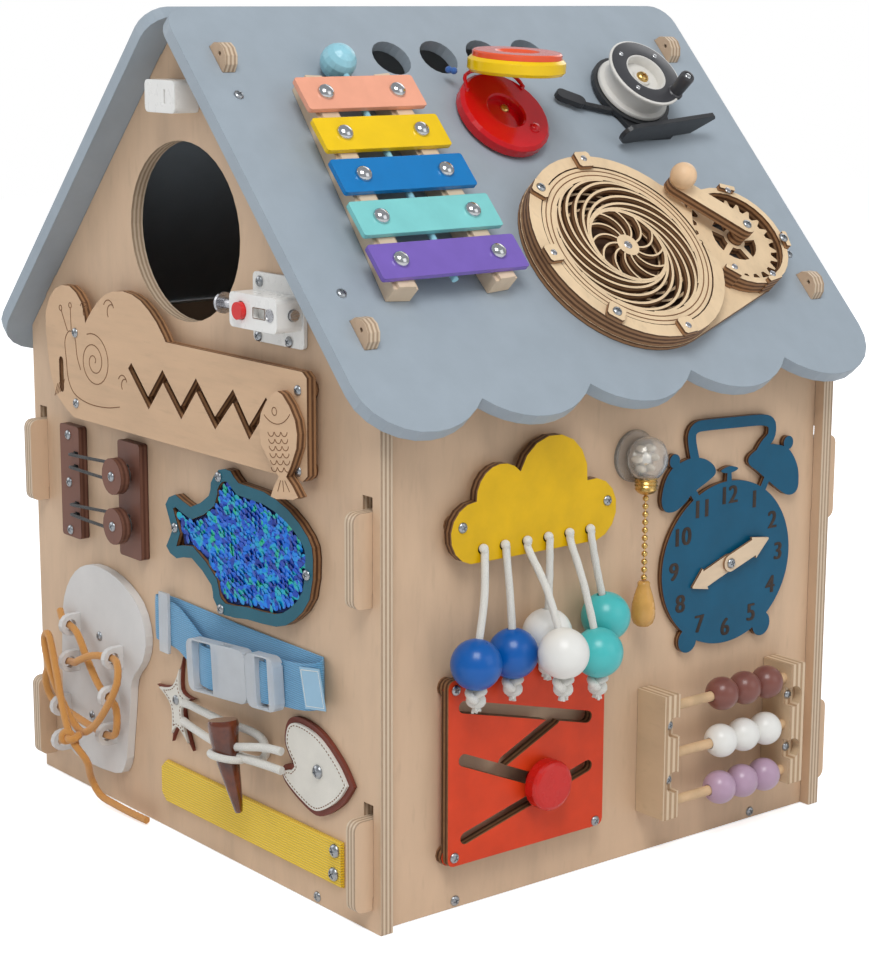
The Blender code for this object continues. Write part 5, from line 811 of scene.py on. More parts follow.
# Roof: chimes, castanet, reel and gears
CHIME_X = -0.1015
CHIME_FIRST = 0.0892
CHIME_PITCH = 0.0286
CHIME_TOP = 0.0161
DOME_SPREADS = (0.0246, 0.0262, 0.0282, 0.0313, 0.0333)
CLACK_X = 0.001
HINGE_DISTANCE = 0.0713
HINGE_OFF = 0.0105
CLAPPER_OPEN = math.radians(42.0)
REEL_PLACE = (0.1123, -0.0855)
REEL_TOP = 0.0219


def build_chimes():
    screws("roof_screws", ROOF, [(-0.1688, -0.0756), (-0.168, -0.2103), (0.167, -0.2124)])
    # Painted shade: a dark disc stands in the pin hole
    piece("roof_pin_hole_shade", disc(0.0013, 0.00008, 12), "dark", place_at(ROOF, 0.1597, -0.211, 0.00002))
    spots = []
    for index, spread in enumerate(DOME_SPREADS):
        y = -(CHIME_FIRST + CHIME_PITCH * index)
        spots += [place_at(ROOF, CHIME_X + side * spread, y, CHIME_TOP) for side in (-1, 1)]
    piece("chime_domes", repeated(dome_mesh(0.0049, 0.004), spots), "chrome")


def build_castanet():
    node = "castanet_clapper"
    hinge = place_at(ROOF, CLACK_X, -HINGE_DISTANCE, HINGE_OFF)
    tilt = hinge @ Matrix.Rotation(-CLAPPER_OPEN, 4, "X") @ Matrix.Translation((0, -0.027, 0.0016))
    radius = 0.0285
    seam = 0.009
    edge = 0.0018
    profile = [(0, 0), (radius - edge, 0), (radius, edge)]
    profile += [(radius, seam - edge), (radius - edge, seam), (0, seam)]
    piece("clapper_disc", turned(profile, 64), "clap_yellow", tilt, node, 30, [node])
    top = 0.0125
    profile = [(0, seam), (0.026, seam), (0.026, top - 0.0008), (0.0252, top), (0.013, top)]
    profile += [(0.0118, top - 0.0012), (0, top - 0.0015)]
    piece("clapper_cap", turned(profile, 64), "orange", tilt, node)
    screws("castanet_screw", ROOF, [(0.0055, -0.095)], 0.0043, material="brass")
    bump = place_at(ROOF, CLACK_X + 0.0138, -0.1143, 0.0079)
    piece("castanet_bump", ball_mesh(0.0038, 24, 12), "red", bump)
    knots = ((-0.0225, -0.07, 0.0092), (-0.0245, -0.068, 0.008))
    spots = [place_at(ROOF, CLACK_X + x, y, off) for x, y, off in knots]
    piece("castanet_knot", repeated(ball_mesh(0.0021, 16, 8), spots), "tie")


def build_reel():
    node = "reel_spool"
    spot = place_at(ROOF, *REEL_PLACE)
    top = REEL_TOP
    floor = top - 0.0045
    profile = [(0, 0.0051), (0.0242, 0.0051), (0.0244, 0.0058), (0.0238, 0.0072), (0.0212, 0.0084)]
    profile += [(0.0205, 0.01), (0.0205, 0.0165), (0.0214, 0.0182), (0.024, 0.0192), (0.0252, 0.0202)]
    profile += [(0.0252, top - 0.0005), (0.0246, top), (0.013, top), (0.0125, top - 0.0006)]
    profile += [(0.0121, top - 0.006), (0.006, top - 0.006), (0.0055, floor), (0, floor)]
    piece("spool_body", turned(profile, 72), "spool", spot, node, 40, [node])
    high = top + 0.0003
    profile = [(0.0138, top), (0.0237, top), (0.024, top + 0.00015), (0.0236, high), (0.0139, high)]
    piece("spool_ring", turned(profile, 72), "ring", spot, node)
    rivets = [place_at(spot, *polar(0.0188, math.radians(angle)), high) for angle in (40, 130, 220)]
    piece("spool_rivets", repeated(dome_mesh(0.0017, 0.0009, 16, 4), rivets), "chrome", None, node)
    grip = place_at(spot, *polar(0.0215, math.radians(-50)), top - 0.001)
    profile = [(0, 0), (0.005, 0), (0.005, 0.0016), (0.0041, 0.0024), (0.0046, 0.015), (0.004, 0.0164)]
    profile += [(0.0028, 0.0166), (0.0026, 0.0158), (0, 0.0158)]
    piece("reel_grip", turned(profile, 32), "ring", grip, node)
    piece("reel_grip_pin", dome_mesh(0.0024, 0.0009, 20, 4), "chrome", place_at(grip, 0, 0, 0.0158), node)
    screws("reel_screw", spot, [(0, 0)], floor, node, "brass", BIG_SCREW)


WHEEL_CENTRE = (0.0304, -0.2042)
GEAR_CENTRE = (0.1187, -0.2042)
TOOTH_COUNT = 50
TOOTH_STEPS = ((0.05716, -0.32), (0.06157, -0.105), (0.06157, 0.105), (0.05716, 0.32))
TOOTH_PITCH_RADIUS = 0.05966
WHEEL_LOW = 0.0083
WHEEL_TOP = 0.0127
LUG_TOP = 0.0163
ARM_TOP = 0.0231
CRANK_BALL_OFF = 0.0292
SPIRAL_INNER = 0.0256
SPIRAL_OUTER = 0.0475
BLADE_COUNT = 12
BLADE_WIDTH = 0.0016
BLADE_PHASE = math.radians(19.4)
PETAL_PHASE = math.radians(13.5)
PETAL_START = 0.007
PETAL_WIDTH = 0.0012
LATTICE_LOW = 0.0058
LATTICE_TOP = 0.0072
# SHADE_OFF and SHADE_THICKNESS place thin dark discs of painted shade on the recess floors
SHADE_OFF = 0.00361
SHADE_THICKNESS = 0.00006
# Blades that cross lie a little above one another
BLADE_STEP = 0.00003


def spiral_line(turn, way):
    """One blade, half a circle from the inner ring to the outer ring."""
    blade_radius = (SPIRAL_INNER + SPIRAL_OUTER) / 2
    centre = (SPIRAL_OUTER - SPIRAL_INNER) / 2
    line = []
    for index in range(61):
        along = math.pi * index / 60
        x = blade_radius * math.cos(along) - centre
        y = blade_radius * math.sin(along)
        line.append(polar(math.hypot(x, y), turn + way * math.atan2(y, x)))
    return line


def petal_line(turn):
    line = []
    for step in range(17):
        share = step / 16
        radius = PETAL_START + (SPIRAL_INNER - 0.0008 - PETAL_START) * share
        line.append(polar(radius, turn + math.radians(36) * share**1.5))
    return line


def build_wheel():
    teeth = []
    for tooth in range(TOOTH_COUNT):
        for radius, share in TOOTH_STEPS:
            angle = math.tau / TOOTH_COUNT * (tooth + share * TOOTH_PITCH_RADIUS / radius)
            teeth.append(polar(radius, angle))
    meshes = [
        plate([teeth, circle(0.0502, 64)], 0.0039, 0.0091),
        flat_ring(SPIRAL_OUTER, 0.0562, WHEEL_LOW, WHEEL_TOP),
        flat_ring(SPIRAL_INNER - 0.0014, SPIRAL_INNER + 0.0001, WHEEL_LOW, WHEEL_TOP),
        flat_ring(0.0027, 0.0074, WHEEL_LOW, WHEEL_TOP, 48),
    ]
    for index in range(BLADE_COUNT):
        turn = math.tau * index / BLADE_COUNT
        blade = spiral_line(BLADE_PHASE + turn, -1)
        top = WHEEL_TOP - BLADE_STEP
        meshes.append(stroke(blade, BLADE_WIDTH, WHEEL_LOW, top - BLADE_STEP * (index % 2)))
        meshes.append(stroke(petal_line(PETAL_PHASE + turn), PETAL_WIDTH, WHEEL_LOW, top))
    node = "spiral_wheel"
    lattice = gathered(meshes, place_at(ROOF, *WHEEL_CENTRE))
    piece("wheel_lattice", lattice, "roof_laser", None, node, 30, [node])


def build_gear_details():
    wheel_lugs = [polar(0.0605, math.radians(90 + 46.5 * index), WHEEL_CENTRE) for index in range(5)]
    gear_lugs = [polar(0.0322, math.radians(angle), GEAR_CENTRE) for angle in (72, -13, -80, -131)]
    screws("casing_screws", ROOF, wheel_lugs[1::2] + gear_lugs[1:2], LUG_TOP)
    riveted = wheel_lugs[::2] + gear_lugs[:1] + gear_lugs[2:]
    spots = [place_at(ROOF, *lug, LUG_TOP) for lug in riveted]
    piece("casing_rivets", repeated(dome_mesh(0.0021, 0.0006, 20, 3), spots), "steel")
    top = place_at(ROOF, *WHEEL_CENTRE, WHEEL_TOP)
    piece("wheel_rivet", dome_mesh(0.0027, 0.0007, 20, 3), "steel", top, "spiral_wheel")
    screws("arm_screw", ROOF, [GEAR_CENTRE], ARM_TOP, "crank_gear")
    tip = place_at(ROOF, *polar(0.0486, math.radians(136), GEAR_CENTRE), CRANK_BALL_OFF)
    piece("crank_ball", ball_mesh(0.0079, 40, 20), "tip_wood", tip, "crank_gear")
    rings = [flat_ring(radius, radius + 0.0006, 0, 0.0002) for radius in (0.0502, 0.0534)]
    piece("wheel_rings", gathered(rings, top), "burn_line", None, "spiral_wheel")
    # Painted shade: a dark brown disc on the floor of the recess under the spiral wheel
    dark = disc(0.061, SHADE_THICKNESS, 64)
    piece("wheel_shade", dark, "burnt", place_at(ROOF, *WHEEL_CENTRE, SHADE_OFF))
    meshes = [flat_ring(*radii, LATTICE_LOW, LATTICE_TOP) for radii in ((0.0236, 0.0257), (0.047, 0.0496))]
    for index in range(BLADE_COUNT):
        line = spiral_line(math.tau * index / BLADE_COUNT, 1)
        meshes.append(stroke(line, 0.0016, LATTICE_LOW, LATTICE_TOP - 0.00002 - BLADE_STEP * (index % 2)))
    piece("counter_spiral", gathered(meshes, place_at(ROOF, *WHEEL_CENTRE)), "roof_laser")
    # Painted shade: a dark grey disc on the floor under the crank gear
    shadow = disc(0.0315, SHADE_THICKNESS, 48)
    piece("gear_shade", shadow, "charcoal", place_at(ROOF, *GEAR_CENTRE, SHADE_OFF))


# Front gable
PANEL_TOP = 0.01
LATCH_TOP = 0.019
SLIDER_PLACE = (0.11355, 0.2636)
SLIDER_TURN = math.radians(98.0)
SLIDER_TOP = 0.0163
SNAIL_FOOT = (
    (-0.06, 0.2555), (-0.075, 0.253), (-0.095, 0.2525), (-0.112, 0.256), (-0.1195, 0.264), (-0.1215, 0.276),
    (-0.1225, 0.288), (-0.1165, 0.2945), (-0.1105, 0.291), (-0.1085, 0.28), (-0.1045, 0.272),
)


def build_latch_details():
    screws("latch_screws", FRONT, [(0.0773, 0.343), (0.0756, 0.313), (0.1045, 0.313)], 0.0028)
    profile = [(0, 0), (0.0036, 0), (0.0036, 0.0003), (0.003, 0.0004), (0.0028, 0.0001), (0, 0.0001)]
    piece("latch_ring", turned(profile), "steel", place_at(FRONT, 0.1102, 0.329, LATCH_TOP))
    line = [(0.0945, 0.3318), (0.1055, 0.3318), (0.1055, 0.3262), (0.0945, 0.3262), (0.0945, 0.3318)]
    engraving("latch_window", FRONT, LATCH_TOP, [line], 0.0003)


def build_zigzag_details():
    places = [(-0.11, 0.294), (-0.111, 0.2507), (0.1225, 0.29), (0.122, 0.2465)]
    screws("zigzag_screws", FRONT, places, PANEL_TOP)
    shell = []
    for index in range(61):
        share = index / 60
        angle = math.radians(-30) + math.tau * 2.4 * share
        radius = 0.0012 + 0.0175 * share
        shell.append((-0.0885 + radius * math.cos(angle), 0.279 + 0.92 * radius * math.sin(angle)))
    lines = [shell, smooth_line(flat_vectors(SNAIL_FOOT), 50)]
    lines.append([(-0.119, 0.294), (-0.126, 0.306)])
    lines.append([(-0.1145, 0.2945), (-0.115, 0.3085)])
    lines += [arc_points(eye, 0.0016, 0, math.tau, 16) for eye in ((-0.1268, 0.3074), (-0.1151, 0.3101))]
    for x, z, size in ((-0.07, 0.312, 0.006), (-0.0985, 0.309, 0.0048), (-0.056, 0.27, 0.005)):
        lines.append(arc_points((x, z), size, 0.3, 2.4, 12))
        lines.append(arc_points((x + size * 0.55, z - size * 0.2), size * 0.8, 1.2, 2.6, 12))
    for index in range(5):
        x = -0.137 + 0.0022 * index
        lines.append([(x, 0.252 + 0.001 * index), (x + 0.004, 0.26 + 0.001 * index)])
    engraving("panel_engraving", FRONT, PANEL_TOP, lines, 0.0005)


def build_slider_details():
    eye = arc_points((0.0145, 0.002), 0.0022, 0, math.tau, 20)
    gill = arc_points((0.0245, 0), 0.0168, 2.35, 1.6, 16)
    lines = [eye, gill]
    for row in range(6):
        for column in (-1, 0, 1):
            x = 0.004 - 0.0038 * row
            y = column * 0.0062 + 0.0008
            if abs(y) < 0.0135 - 0.0009 * row:
                lines.append(arc_points((x, y), 0.0029, math.pi / 2 + 0.2, math.pi - 0.4, 10))
    lines += [[(-0.0225, slant * 0.5), (-0.0285, slant * 1.4)] for slant in (-0.004, 0, 0.004)]
    spot = place_at(FRONT, *SLIDER_PLACE, 0, SLIDER_TURN)
    engraving("slider_engraving", spot, SLIDER_TOP, lines, 0.0004, "fish_slider")


PEG_BAR_X = -0.128
KNOB_BAR_X = -0.0583
BAR_Z = 0.199
BAR_TOP = 0.006
ELASTIC_RADIUS = 0.001
ELASTIC_X = 0.006
ELASTIC_TOP = 0.0092
ELASTIC_HOLES = ((0.0183, 0.0101), (-0.0132, -0.0198))
KNOB_HEIGHTS = (0.0158, -0.0145)
KNOB_WRAP = 0.0058


def build_elastic_board():
    screws("peg_bar_screws", FRONT, [(-0.1293, z) for z in (0.228, 0.1983, 0.168)], BAR_TOP)
    screws("knob_screws", FRONT, [(KNOB_BAR_X, BAR_Z + z) for z in KNOB_HEIGHTS], 0.018)
    start = PEG_BAR_X + ELASTIC_X
    rims = []
    for order, holes in enumerate(ELASTIC_HOLES):
        steps = ((start, BAR_TOP / 2), (start + 0.0006, 0.0075), (start + 0.0042, ELASTIC_TOP))
        rise = [[(x, BAR_Z + z, off) for x, off in steps] for z in holes]
        knob = (KNOB_BAR_X, BAR_Z + KNOB_HEIGHTS[order])
        around = [(*point, ELASTIC_TOP) for point in arc_points(knob, KNOB_WRAP, math.pi / 2, -math.pi, 8)]
        route = rise[0] + around + rise[1][::-1]
        loop = soft_cord(
            "elastic_loop_%d" % (order + 1), FRONT, route, 90, ELASTIC_RADIUS, "elastic", "house",
        )
        if order == 0:
            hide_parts("elastic_cord")
        rims += [place_at(FRONT, start, BAR_Z + z, BAR_TOP) for z in holes]
    # Painted shade: dark discs stand in the holes the elastic runs through
    piece("elastic_hole_shades", repeated(disc(0.0015, 0.00006, 14), rims), "dark")


SEQUIN_RADIUS = 0.0026
SEQUIN_COLUMN = 0.004
SEQUIN_ROW = 0.0031
SEQUIN_REACH = 0.002


def build_sequins():
    """Overlapping sequins in columns, wherever the pad lies behind."""
    pad = bpy.data.objects["sequin_pad"].data
    tree = BVHTree.FromPolygons([v.co for v in pad.vertices], [list(p.vertices) for p in pad.polygons])
    piece("sequin_backing", pad, "sequin_cloth", None, "house", 30, ["sequin_pad"])
    low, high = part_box("sequin_pad")
    chance = random.Random(7)
    reach = SEQUIN_REACH
    bm = bmesh.new()
    for row in range(int((high.z - low.z) / SEQUIN_ROW) + 1):
        for column in range(int((high.x - low.x) / SEQUIN_COLUMN) + 1):
            x = low.x + SEQUIN_COLUMN * column + chance.uniform(-0.0003, 0.0003)
            z = low.z + SEQUIN_ROW * row + (0.0015 if column % 2 else 0) + chance.uniform(-0.0003, 0.0003)
            around = ((x + reach, z), (x - reach, z), (x, z + reach), (x, z - reach))
            starts = [Vector((u, low.y - 0.01, v)) for u, v in around]
            if None in [tree.ray_cast(start, Vector((0, 1, 0)), 0.02)[0] for start in starts]:
                continue
            lean = Matrix.Rotation(chance.uniform(0.08, 0.3), 4, "X")
            lean = lean @ Matrix.Rotation(chance.uniform(-0.22, 0.22), 4, "Y")
            spot = Matrix.Translation((x, low.y - 0.0011, z)) @ UPRIGHT @ lean
            bm.faces.new([bm.verts.new(spot @ Vector((u, v, 0))) for u, v in circle(SEQUIN_RADIUS, 10)])
    piece("sequin_discs", finish_mesh(bm, False), "sequin")
    places = [(0.039, 0.2293), (-0.0079, 0.1914), (0.0392, 0.1525), (0.1236, 0.1892)]
    screws("fish_screws", FRONT, places, 0.0062)


LACE_ROUTE = (
    (-0.139, 0.115, 0.01), (-0.132, 0.1105, 0.012), (-0.1238, 0.109, 0.0123), (-0.113, 0.1055, 0.0128),
    (-0.1, 0.09, 0.013), (-0.088, 0.078, 0.013), (-0.0786, 0.0732, 0.0124), (-0.069, 0.069, 0.013),
    (-0.066, 0.06, 0.014), (-0.071, 0.051, 0.013), (-0.0826, 0.048, 0.0124), (-0.1, 0.049, 0.0125),
    (-0.122, 0.051, 0.0125), (-0.1384, 0.0528, 0.0124), (-0.15, 0.057, 0.013), (-0.153, 0.069, 0.014),
    (-0.145, 0.08, 0.013), (-0.126, 0.085, 0.0124), (-0.112, 0.088, 0.016), (-0.1, 0.093, 0.019),
    (-0.088, 0.098, 0.0165), (-0.073, 0.099, 0.0124), (-0.062, 0.097, 0.015), (-0.057, 0.087, 0.019),
    (-0.064, 0.072, 0.022), (-0.078, 0.057, 0.023), (-0.092, 0.05, 0.024), (-0.108, 0.06, 0.025),
    (-0.126, 0.08, 0.025), (-0.137, 0.098, 0.023), (-0.129, 0.103, 0.024), (-0.116, 0.084, 0.027),
    (-0.101, 0.062, 0.031), (-0.09, 0.047, 0.032), (-0.085, 0.033, 0.025), (-0.094, 0.018, 0.017),
    (-0.09, 0.007, 0.013), (-0.074, 0.0042, 0.011), (-0.057, 0.0034, 0.01), (-0.042, 0.0032, 0.009),
)
LACE_RADIUS = 0.0024
STRAP_ROUTE = (
    (0.088, 0.1225, 0.006), (0.102, 0.1235, 0.006), (0.118, 0.1255, 0.0064), (0.129, 0.128, 0.0062),
    (0.1336, 0.13, 0.0042), (0.131, 0.131, 0.0014), (0.124, 0.1312, 0.0012), (0.05, 0.132, 0.0012),
    (-0.014, 0.1335, 0.0012), (-0.032, 0.1325, 0.0014), (-0.0352, 0.1322, 0.0028), (-0.032, 0.132, 0.0043),
    (-0.02, 0.1315, 0.0042), (-0.008, 0.13, 0.0044), (0.006, 0.124, 0.005), (0.015, 0.1195, 0.0054),
    (0.0224, 0.1175, 0.006), (0.0292, 0.1172, 0.0096), (0.036, 0.1176, 0.0106),
)
STRAP_BEND = 7
STRAP_WIDTH = 0.0265
STRAP_THICKNESS = 0.0014
STRAP_FOLDS = (
    ("strap_socket_fold", "house", (
        (0.0195, 0.1176, 0.0084), (0.025, 0.1174, 0.0108), (0.0325, 0.1172, 0.0116), (0.04, 0.1176, 0.0108),
        (0.044, 0.118, 0.009),
    )),
    ("strap_plug_fold", "buckle_plug", (
        (0.08, 0.1212, 0.0088), (0.085, 0.1214, 0.0108), (0.092, 0.1222, 0.0112), (0.099, 0.123, 0.009),
        (0.102, 0.1235, 0.0078),
    )),
)
TAG_OUTLINE = ((0.1175, 0.1382), (0.1374, 0.1414), (0.144, 0.1172), (0.1236, 0.1139))
TAG_MIDDLE = (0.1306, 0.1277)
TAG_LOW = 0.0076
TAG_TOP = 0.0082


def build_lace():
    lace = soft_cord(
        "lace", FRONT, LACE_ROUTE, 300, LACE_RADIUS, "lace", "house", 5,
    )
    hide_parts("shoe_lace")
    place = place_at(FRONT, -0.0915, 0.0475, 0.0315) @ Matrix.Rotation(0.5, 4, "Y")
    place = place @ Matrix.Rotation(0.9, 4, "X")
    piece("lace_knot", knot_mesh(0.0058, 0.0024), "lace", place, "house", 60)
    screws("sole_screws", FRONT, [(-0.0985, 0.106), (-0.11, 0.052)], 0.0055)


def build_strap():
    tail = strip(smooth_line(STRAP_ROUTE[:STRAP_BEND + 1], 120), STRAP_WIDTH, STRAP_THICKNESS)
    free_end = piece("strap_free_end", tail, "strap", FRONT, "house", 50)
    # The free end of the strap has no parent
    free_end.parent = None
    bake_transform(free_end)
    body = strip(smooth_line(STRAP_ROUTE[STRAP_BEND:], 120), STRAP_WIDTH, STRAP_THICKNESS)
    piece("strap_body", body, "strap", FRONT, "house", 50, ["blue_strap"])
    rim = [(-0.0046, -0.0182), (0.0046, -0.0182), (0.005, -0.017), (0.005, 0.017), (0.0046, 0.0182)]
    rim += [(-0.0046, 0.0182), (-0.005, 0.017), (-0.005, -0.017)]
    piece("strap_adjuster", plate([rim], 0.0052, 0.007), "buckle", place_at(FRONT, -0.0215, 0.1315))
    for name, node, fold in STRAP_FOLDS:
        piece(name, strip(smooth_line(fold, 24), 0.024, 0.0012), "strap", FRONT, node, 50)
    tag = plate([scaled(TAG_OUTLINE, 0.92, TAG_MIDDLE)], TAG_LOW, TAG_TOP)
    piece("strap_tag", tag, "tag", FRONT, "buckle_plug")
    seam = scaled(TAG_OUTLINE, 0.8, TAG_MIDDLE)
    border = stroke(seam + seam[:1], 0.0005, TAG_TOP, TAG_TOP + 0.00008)
    piece("strap_tag_border", border, "stitch", FRONT, "buckle_plug")


STAR_PLACE = (-0.0158, 0.0835)
STAR_SIZE = (0.043, 0.059)
STAR_SHARES = (
    (0.19, 0.5, 1), (0.15, 0.155, 0), (0.46, 0.11, 1), (0.19, -0.06, 0), (0.4, -0.445, 1),
    (0.06, -0.26, 0), (-0.13, -0.44, 1), (-0.11, -0.06, 0), (-0.5, 0.1, 1), (-0.05, 0.18, 0),
)
STAR_LOOP_ROUTE = (
    (-0.004, 0.086, 0.005), (0.006, 0.0872, 0.0064), (0.025, 0.0868, 0.0068), (0.045, 0.0862, 0.0062),
    (0.064, 0.0868, 0.0052), (0.076, 0.085, 0.0046), (0.0805, 0.079, 0.0044), (0.076, 0.0725, 0.0046),
    (0.064, 0.07, 0.0052), (0.045, 0.0702, 0.0062), (0.025, 0.0722, 0.0068), (0.006, 0.0742, 0.0064),
    (-0.005, 0.075, 0.005),
)
HEART_PLACE = (0.127, 0.0795)
HEART_SIZE = (0.0665, 0.052)
HEART_SHARES = (
    (-0.255, 0.5, 0), (0.06, 0.44, 0), (0.345, 0.21, 0), (0.5, -0.02, 1), (0.33, -0.28, 0),
    (0.03, -0.5, 0), (-0.23, -0.44, 0), (-0.48, -0.27, 0), (-0.48, -0.11, 0), (-0.34, -0.05, 1),
    (-0.46, 0.15, 0), (-0.42, 0.4, 0),
)
HORN_CORD_ROUTES = (
    ((0.063, 0.079, 0.018), (0.074, 0.0815, 0.015), (0.088, 0.0836, 0.01), (0.1, 0.084, 0.0075)),
    ((0.064, 0.0745, 0.017), (0.074, 0.0742, 0.014), (0.088, 0.0734, 0.0098), (0.1, 0.0728, 0.0075)),
)
HORN_ROUTE = (
    (0.059, 0.0945, 0.019), (0.06, 0.088, 0.0192), (0.0618, 0.079, 0.0194), (0.0645, 0.069, 0.019),
    (0.0668, 0.058, 0.0178), (0.0675, 0.048, 0.016), (0.0665, 0.0405, 0.014),
)
HORN_THICK = 0.0092
HORN_THIN = 0.0022
WRAP_RADIUS = 0.0094
CORD_RADIUS = 0.0024
PATCH_TOP = 0.0042


def build_patches():
    for name, shares, size, place, edge in (
        ("star", STAR_SHARES, STAR_SIZE, STAR_PLACE, 0.0009),
        ("heart", HEART_SHARES, HEART_SIZE, HEART_PLACE, 0.0033),
    ):
        outline = shaped(shares, *size, place)
        base = plate([outline], GAP, PATCH_TOP - 0.0016)
        piece(name + "_base", base, "oxblood", FRONT, "house", 30, [name + "_patch"])
        face = plate([inset(outline, edge)], PATCH_TOP - 0.0018, PATCH_TOP)
        piece(name + "_face", face, "cream", FRONT, "house", 30)
        engraving(name + "_stitches", FRONT, PATCH_TOP, stitches(inset(outline, edge + 0.0015)), 0.0005)
    screws("star_screw", FRONT, [(-0.0137, 0.0854)], PATCH_TOP)
    screws("heart_screw", FRONT, [(0.1299, 0.0798)], PATCH_TOP, mesh=BIG_SCREW)


def build_toggle():
    for name, route, count in (
        ("star_cord", STAR_LOOP_ROUTE, 120),
        ("heart_cord_1", HORN_CORD_ROUTES[0], 40),
        ("heart_cord_2", HORN_CORD_ROUTES[1], 40),
    ):
        soft_cord(name, FRONT, route, count, CORD_RADIUS, "rope", "house")
    radii = []
    for index in range(48):
        share = index / 47
        thick = HORN_THICK + (HORN_THIN - HORN_THICK) * share**1.15
        radii.append(thick * (1 - 0.1 * max(0.0, 0.04 - share) / 0.04))
    radii[-1] *= 0.5
    horn = tube(smooth_line(HORN_ROUTE, 48), radii, 36)
    piece("horn_body", horn, "horn", FRONT, "house", 50, ["toggle_horn"])
    wrap = []
    for index in range(40):
        angle = math.radians(-70) + math.tau * 0.93 * index / 39
        x, off = polar(WRAP_RADIUS, angle, (0.0628, 0.019))
        wrap.append((x, 0.074 + 0.0022 * math.sin(angle), off))
    radius = CORD_RADIUS * 0.9
    soft_cord("horn_wrap", FRONT, wrap, 70, radius, "rope", "house")


def build_yellow_strap():
    length = 0.1832
    height = 0.026
    cut = 0.005
    outline = [(cut, 0), (length, 0), (length, height), (cut, height), (0, height - cut), (0, cut)]
    spot = place_at(FRONT, -0.0347, 0.0175)
    name = "yellow_strap"
    piece("strap_yellow_lower", plate([outline], GAP, 0.0013), name, spot, "house", 30, [name])
    inner = [(x * 0.995 + 0.0004, z * 0.97 + 0.0004) for x, z in outline]
    piece("strap_yellow_upper", plate([inner], 0.0014, 0.0026), name, spot)
    screws("strap_screws", FRONT, [(0.143, 0.0377), (0.142, 0.024)], 0.0026, mesh=BIG_SCREW)


# Right wall
CLOUD_HOLE_Z = 0.2045
PIVOT_OFF = 0.0125
ROPE_RADIUS = 0.0022
BEAD_RADIUS = 0.014
BEAD_BORE = 0.0027
KNOT_DROP = 0.0038
DEEP_BEAD = 0.017
DROPS = (
    ("drop_blue_left", -0.1057, -0.119, 0.1455, 0.022),
    ("drop_blue_right", -0.0905, -0.0898, 0.1457, 0.018),
    ("drop_white_front", -0.0747, -0.0746, 0.1484, 0.042),
    ("drop_white_back", -0.0595, -0.0622, 0.1515, 0.0144),
    ("drop_turquoise_low", -0.0441, -0.0393, 0.1402, 0.031),
    ("drop_turquoise_high", -0.0287, -0.0187, 0.1538, 0.0144),
)


def fray_mesh(chance):
    """Strands that spread from the end of a rope."""
    strands = []
    for index in range(11):
        angle = math.tau * index / 11
        x, z = polar(chance.uniform(0.0008, 0.0024), angle)
        end = Vector((x, -0.0085 + chance.uniform(-0.001, 0.002), z))
        strands.append(tube([Vector((0, 0, 0)), end * 0.5, end], 0.0008, 6))
    return strands


def build_drops():
    screws("cloud_screws", RIGHT, [(-0.119, 0.218), (-0.015, 0.219)], PANEL_TOP)
    ball_form = ball_mesh(BEAD_RADIUS, 36, 16, BEAD_BORE)
    small_knot = knot_mesh(0.0044, 0.0022)
    big_knot = knot_mesh(0.0053, 0.0024)
    chance = random.Random(11)
    for name, hole_y, bead_y, bead_z, bead_off in DROPS:
        pivot = Vector((hole_y, CLOUD_HOLE_Z, PIVOT_OFF))
        bead = Vector((bead_y - hole_y, bead_z - CLOUD_HOLE_Z, bead_off - PIVOT_OFF))
        middle = Vector((bead.x * 0.35, bead.y * 0.45, bead.z * 0.55))
        low = bead - Vector((0, BEAD_RADIUS + 0.005, 0))
        route = [pivot, pivot + Vector((0, -2 * ROPE_RADIUS, 0)), pivot + middle, pivot + bead, pivot + low]
        turn = (bead - middle).normalized().to_track_quat("-Z", "Y").to_matrix().to_4x4()
        spot = place_at(RIGHT, *(pivot + bead)) @ turn
        ball = piece(name + "_bead", ball_form, "bead_" + name.split("_")[1], spot, name, 40, [name])
        knot_place = place_at(RIGHT, *(pivot + bead - Vector((0, BEAD_RADIUS + KNOT_DROP, 0))))
        knot = big_knot if bead_off > DEEP_BEAD else small_knot
        loop = piece(name + "_knot", knot, "rope", knot_place, name, 60)
        fray = piece(name + "_fray", gathered(fray_mesh(chance), knot_place), "rope", None, name, 60)
        eye_place = place_at(RIGHT, *(pivot + Vector((0, 0.0006, -0.001))))
        eye = piece(name + "_eye", ball_mesh(0.0026, 20, 10), "rope", eye_place, name)
        rope = name + "_rope"
        soft_cord(rope, RIGHT, route, 70, ROPE_RADIUS, "rope", name, 6)


LAMP_PLACE = (0.0135, 0.2395)
COLLAR_OFF = 0.011
CHAIN_PITCH = 0.0046
# Profiles of turned pieces: radius and height
LAMP_PLATE = ((0, GAP), (0.015, GAP), (0.015, 0.0022), (0.014, 0.003), (0.009, 0.0033), (0, 0.0033))
LAMP_GLOBE = (
    (0.0075, 0.0036), (0.01, 0.0052), (0.0123, 0.0085), (0.0129, 0.0122), (0.012, 0.016), (0.0095, 0.0188),
    (0.0055, 0.0205), (0, 0.021), (0, 0.0203), (0.0052, 0.0198), (0.009, 0.0182), (0.0113, 0.0157),
    (0.0121, 0.0122), (0.0116, 0.0088), (0.0094, 0.0057), (0.007, 0.0042),
)
LAMP_CORE = (
    (0, 0.0034), (0.0062, 0.0034), (0.0062, 0.006), (0.0045, 0.0068), (0.004, 0.0112), (0.0022, 0.013),
    (0, 0.0134),
)
LAMP_COLLAR = (
    (0, 0), (0.0058, 0), (0.0067, 0.001), (0.006, 0.002), (0.0067, 0.003), (0.006, 0.004),
    (0.0067, 0.005), (0.006, 0.006), (0.0064, 0.0072), (0.005, 0.0088), (0.003, 0.01), (0, 0.01),
)
